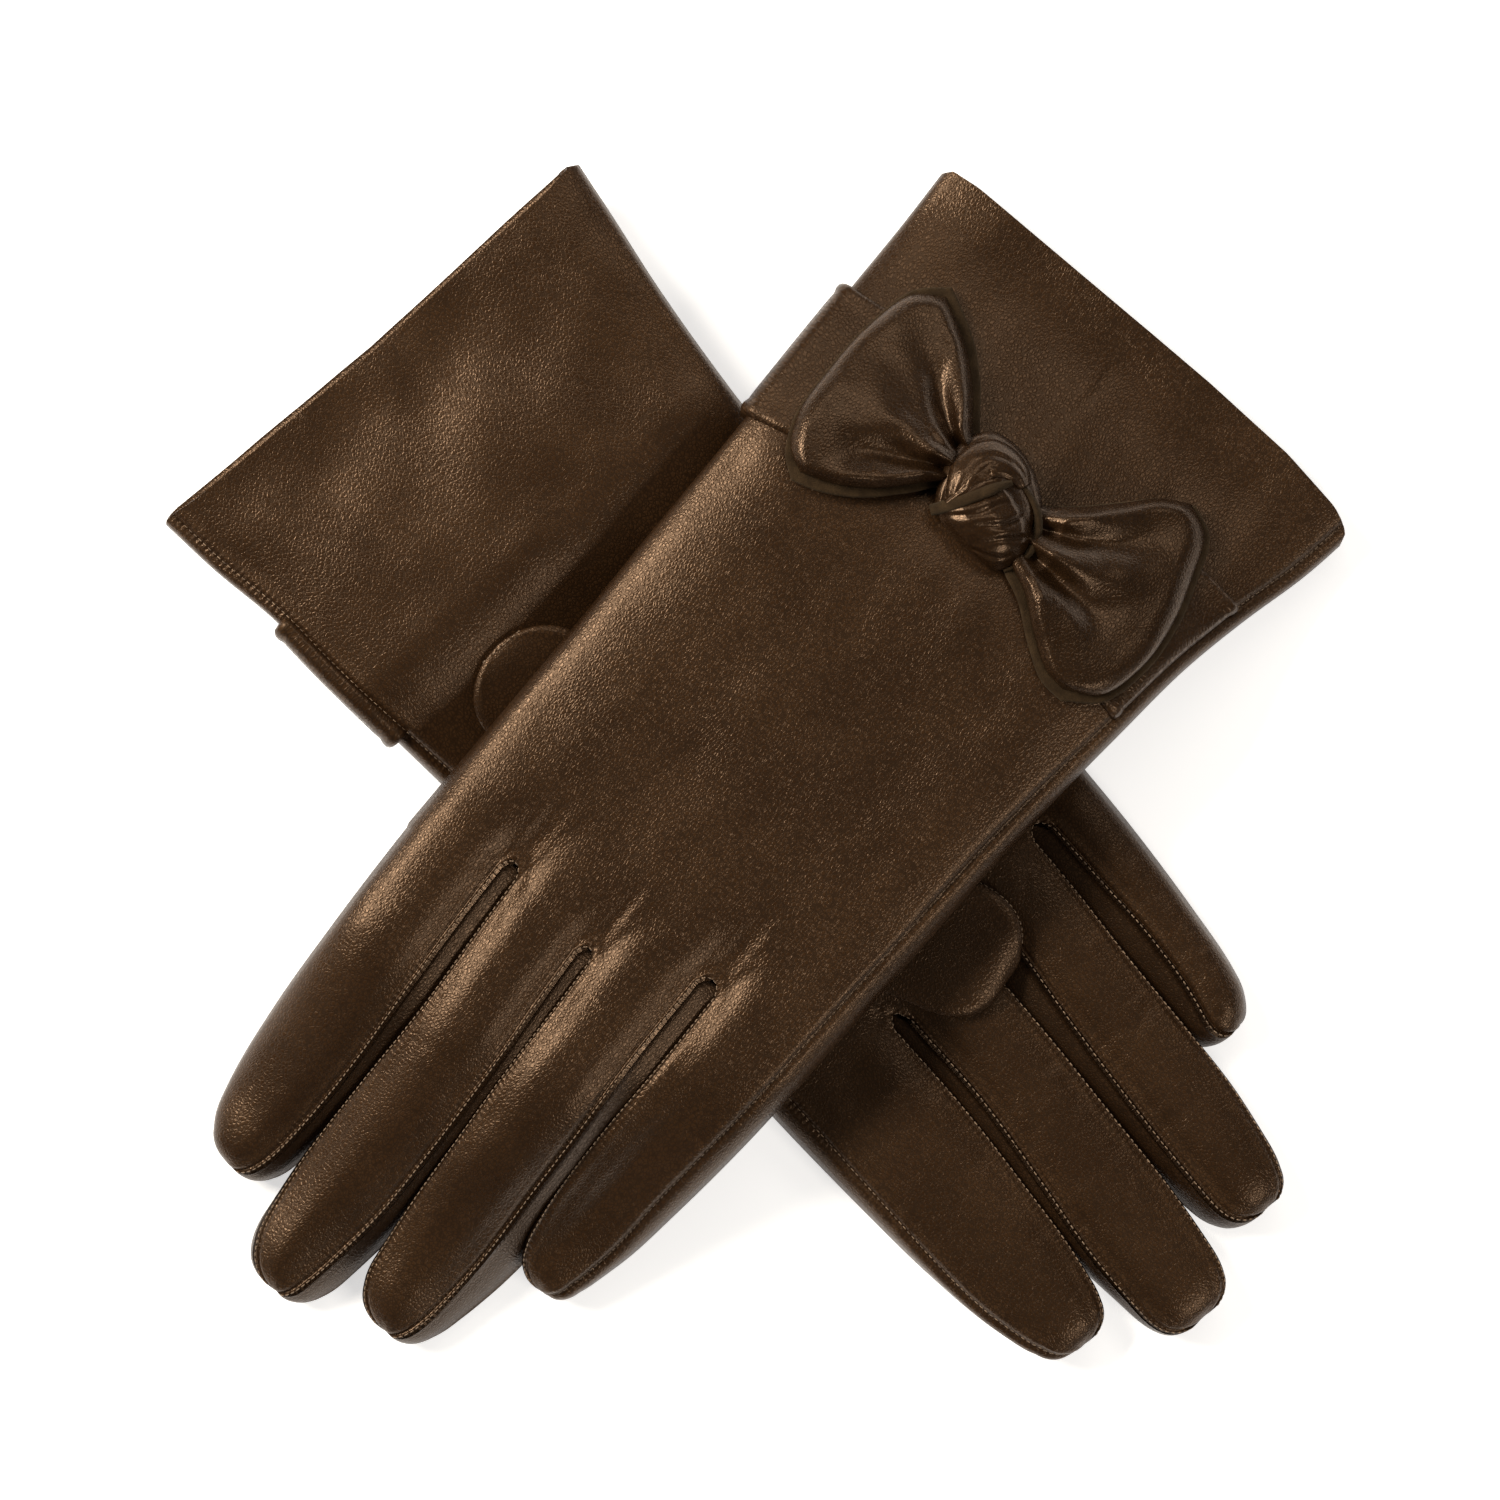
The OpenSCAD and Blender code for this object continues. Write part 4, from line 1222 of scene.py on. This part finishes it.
# The wrap's corners are at the suede bar and at its low end: edges as (x, y)
WRAP = {
    "bar": [(5.0, -61.2), (2.5, -65.2), (0.5, -68.8), (-1.4, -72.7), (-2.9, -74.9)],
    "end": [(-7.0, -58.8), (-10.6, -59.0), (-12.9, -60.6), (-14.1, -64)],
    "left": [(5.0, -61.2), (2.9, -59.9), (-1.2, -59), (-7, -58.8)],
    "right": [(-2.9, -74.9), (-6.9, -74), (-10.3, -72.5), (-12.7, -70.2), (-14, -67.2), (-14.1, -64)],
}
# Creases of the wrap as (place out from the bar, place along it, reach, mm)
WRAP_CREASES = [(0.2, 0.5, 0.45, 0.5), (0.4, 0.75, 0.3, 0.9), (0.6, 0.72, 0.28, 0.8), (0.8, 0.35, 0.3, 0.5)]


def knot_wrap(hand):
    """The broad strap drawn over the knot, creased beside the suede bar."""
    s = 0.5 * (np.sin(np.linspace(0, math.pi / 2, 46)) + np.linspace(0, 1, 46))
    t = 0.5 + 0.5 * np.sin(np.linspace(-math.pi / 2, math.pi / 2, 61))
    s, t = np.meshgrid(s, t, indexing="ij")
    plan = coons(WRAP["left"], WRAP["right"], WRAP["bar"], WRAP["end"], s, t)
    at_bar = along([(0, 3.4), (0.3, 6.6), (0.6, 8.2), (0.85, 8.2), (1, 7)], t)
    at_end = along([(0, 1.4), (0.5, 2.2), (1, 1.8)], t)
    h = mix(at_bar, at_end, s**1.5) + 1.7 * np.sin(math.pi * s**0.9) * np.sin(math.pi * t) ** 0.7
    for s0, t0, reach, depth in WRAP_CREASES:
        at = s0 + 0.1 * (t - 0.5) + 0.02 * np.sin(t * 9 + s0 * 20)
        here = bell(t - t0, reach)
        h = h - depth * bell(s - at, 0.035) * here + 0.45 * depth * bell(s - at + 0.075, 0.05) * here
    h = h + 0.15 * rough_noise(s * 6, t * 4, SEED[hand] + 160, 2)
    edge = np.minimum(np.minimum(t * 14, (1 - t) * 12), (1 - s) * 12)
    h = 0.4 + (h - 0.4) * round_edge(edge, 2.2, 2.2)
    bow_piece("knot_wrap", hand, above_band(hand, plan, h + 0.2), above_band(hand, plan, 0.2 + 0 * h), plan,
              h + 84, "shaded_knot_leather")


def knot_core(hand):
    """The low dome under the knot's straps."""
    radius = np.sin(np.linspace(0, math.pi / 2, 18)[:, None])
    a = np.linspace(0, 2 * math.pi, 49)[None, :]
    plan = np.stack([-2.2 + 10.2 * radius * np.cos(a), -69.6 + 9.6 * radius * np.sin(a)], -1)
    h = 7.3 * np.maximum(0, 1 - radius**2.6) ** 0.5 + 0 * a
    bow_piece("bow_knot_core", hand, above_band(hand, plan, h + 0.5), above_band(hand, plan, 0.3 + 0 * h),
              plan, h + 88, "shaded_knot_leather", "bow_knot", flip=(hand == "right"))


def bow_knot(hand):
    """The strap is tied over the wings: an outer loop, a crescent, and a wrap with suede along its edges."""
    knot_core(hand)
    ribbon("knot_outer_loop", hand,
           [(4.4, -61.8, 2.0), (6.6, -66.2, 3.6), (7.7, -71, 4.8), (7.6, -75.4, 5.2), (5.6, -78.4, 5.2),
            (1.6, -79.2, 5.0), (-3.6, -78, 4.6), (-8.2, -75.2, 4.0), (-10.8, -72.4, 3.0)],
           [(0, 3), (0.3, 4.2), (0.6, 4.2), (1, 3.4)], 0.7, "shaded_knot_leather", tilt=-0.5)
    ribbon("knot_crescent", hand,
           [(2.0, -63.6, 4.6), (3.7, -67.4, 6.6), (4.6, -71.6, 8.0), (3.5, -75.4, 8.6), (0.4, -77, 8.4),
            (-2.8, -77, 7.6), (-5.6, -76, 5.6)],
           [(0, 5), (0.35, 8.2), (0.6, 8.2), (0.8, 5.6), (1, 3)], 1.3, "shaded_knot_leather", tilt=-0.3, thick=1.6,
           grooves=((0.3, 0.28, 0.6), (-0.3, 0.3, 0.5), (-0.62, 0.25, 0.62)))
    ribbon("knot_fold", hand,
           [(3.6, -63, 5), (2.6, -66.8, 7.2), (1.7, -70.6, 8.5), (-0.2, -74, 8.7), (-3, -76, 6.6)],
           [(0, 3.6), (0.5, 5.0), (1, 3.4)], 0.7, "shaded_knot_leather", tilt=0.1, thick=2.0,
           grooves=((0.2, 0.5, 0.7),))
    knot_wrap(hand)
    ribbon("knot_side_suede", hand,
           [(-2.8, -75.9, 6.4), (-6.6, -75.3, 6.2), (-10.4, -73.7, 5.4), (-13, -71, 4.4), (-14.4, -67.4, 3.4),
            (-14.5, -64, 2.4), (-13, -60.4, 1.2)], [(0, 1.4), (0.5, 1.9), (1, 1.2)], 0.3, "suede",
           tilt=0.3, thick=2.2, across=11)
    ribbon("knot_suede_bar", hand,
           [(5.9, -60.2, 1.6), (4.6, -61.9, 4.2), (2.5, -65.3, 7.4), (0.5, -68.9, 9.1), (-1.4, -72.5, 9.4),
            (-2.9, -75, 8.2)], [(0, 2.2), (0.3, 3.0), (0.75, 2.8), (1, 1.5)], 0.45, "suede",
           tilt=-0.15, thick=2.4, across=11)


# ---------------- making the pair

for hand in HANDS:
    glove = Glove(hand)
    leather_pieces(glove)
    inner_pieces(glove)
    wrist_band(glove)
    thumb(glove)
    for which in WINGS:
        bow_wing(hand, which)
    bow_knot(hand)
    glove_stitches(glove)

# ---------------- floor, light and camera


def floor(reach=3.0):
    n = Nodes("floor paper")
    corners = np.array([(-reach, -reach, 0), (reach, -reach, 0), (reach, reach, 0), (-reach, reach, 0)])
    material = n.shade(Base_Color=(0.9, 0.9, 0.9, 1), Roughness=0.9, Specular_IOR_Level=0.1,
                       Emission_Color=(1, 1, 1, 1), Emission_Strength=0.6)
    new_object("floor", corners / MM, [(0, 1, 2, 3)], material)


def area_light(name, place_at, size, power, colour):
    """A soft light that shines at the gloves."""
    light = bpy.data.lights.new(name, "AREA")
    light.shape = "RECTANGLE"
    light.size, light.size_y = size
    light.energy = power
    light.color = colour
    obj = bpy.data.objects.new(name, light)
    obj.location = place_at
    obj.rotation_euler = (-Vector(place_at)).to_track_quat("-Z", "Y").to_euler()
    bpy.context.scene.collection.objects.link(obj)


floor()
# The key light gives the highlights their warm side, and the other two fill the shade behind it
area_light("key", (-0.92, 0.52, 0.95), (0.8, 0.4), 29.0, (1.0, 0.92, 0.81))
area_light("top", (0.3, 0.9, 0.95), (1.0, 0.4), 4.0, (1.0, 0.93, 0.84))
area_light("fill", (0.75, -0.75, 1.0), (0.8, 0.4), 8.0, (1.0, 0.93, 0.84))
world = bpy.data.worlds.new("studio")
world.use_nodes = True
world.node_tree.nodes["Background"].inputs["Color"].default_value = (1, 1, 1, 1)
world.node_tree.nodes["Background"].inputs["Strength"].default_value = 0.07
bpy.context.scene.world = world
bpy.context.scene.view_settings.view_transform = "Standard"

camera_data = bpy.data.cameras.new("camera")
camera_data.lens = 359.2
camera = bpy.data.objects.new("camera", camera_data)
camera.location = (-0.0021, 0.0019, 3.0)
bpy.context.scene.collection.objects.link(camera)
bpy.context.scene.camera = camera
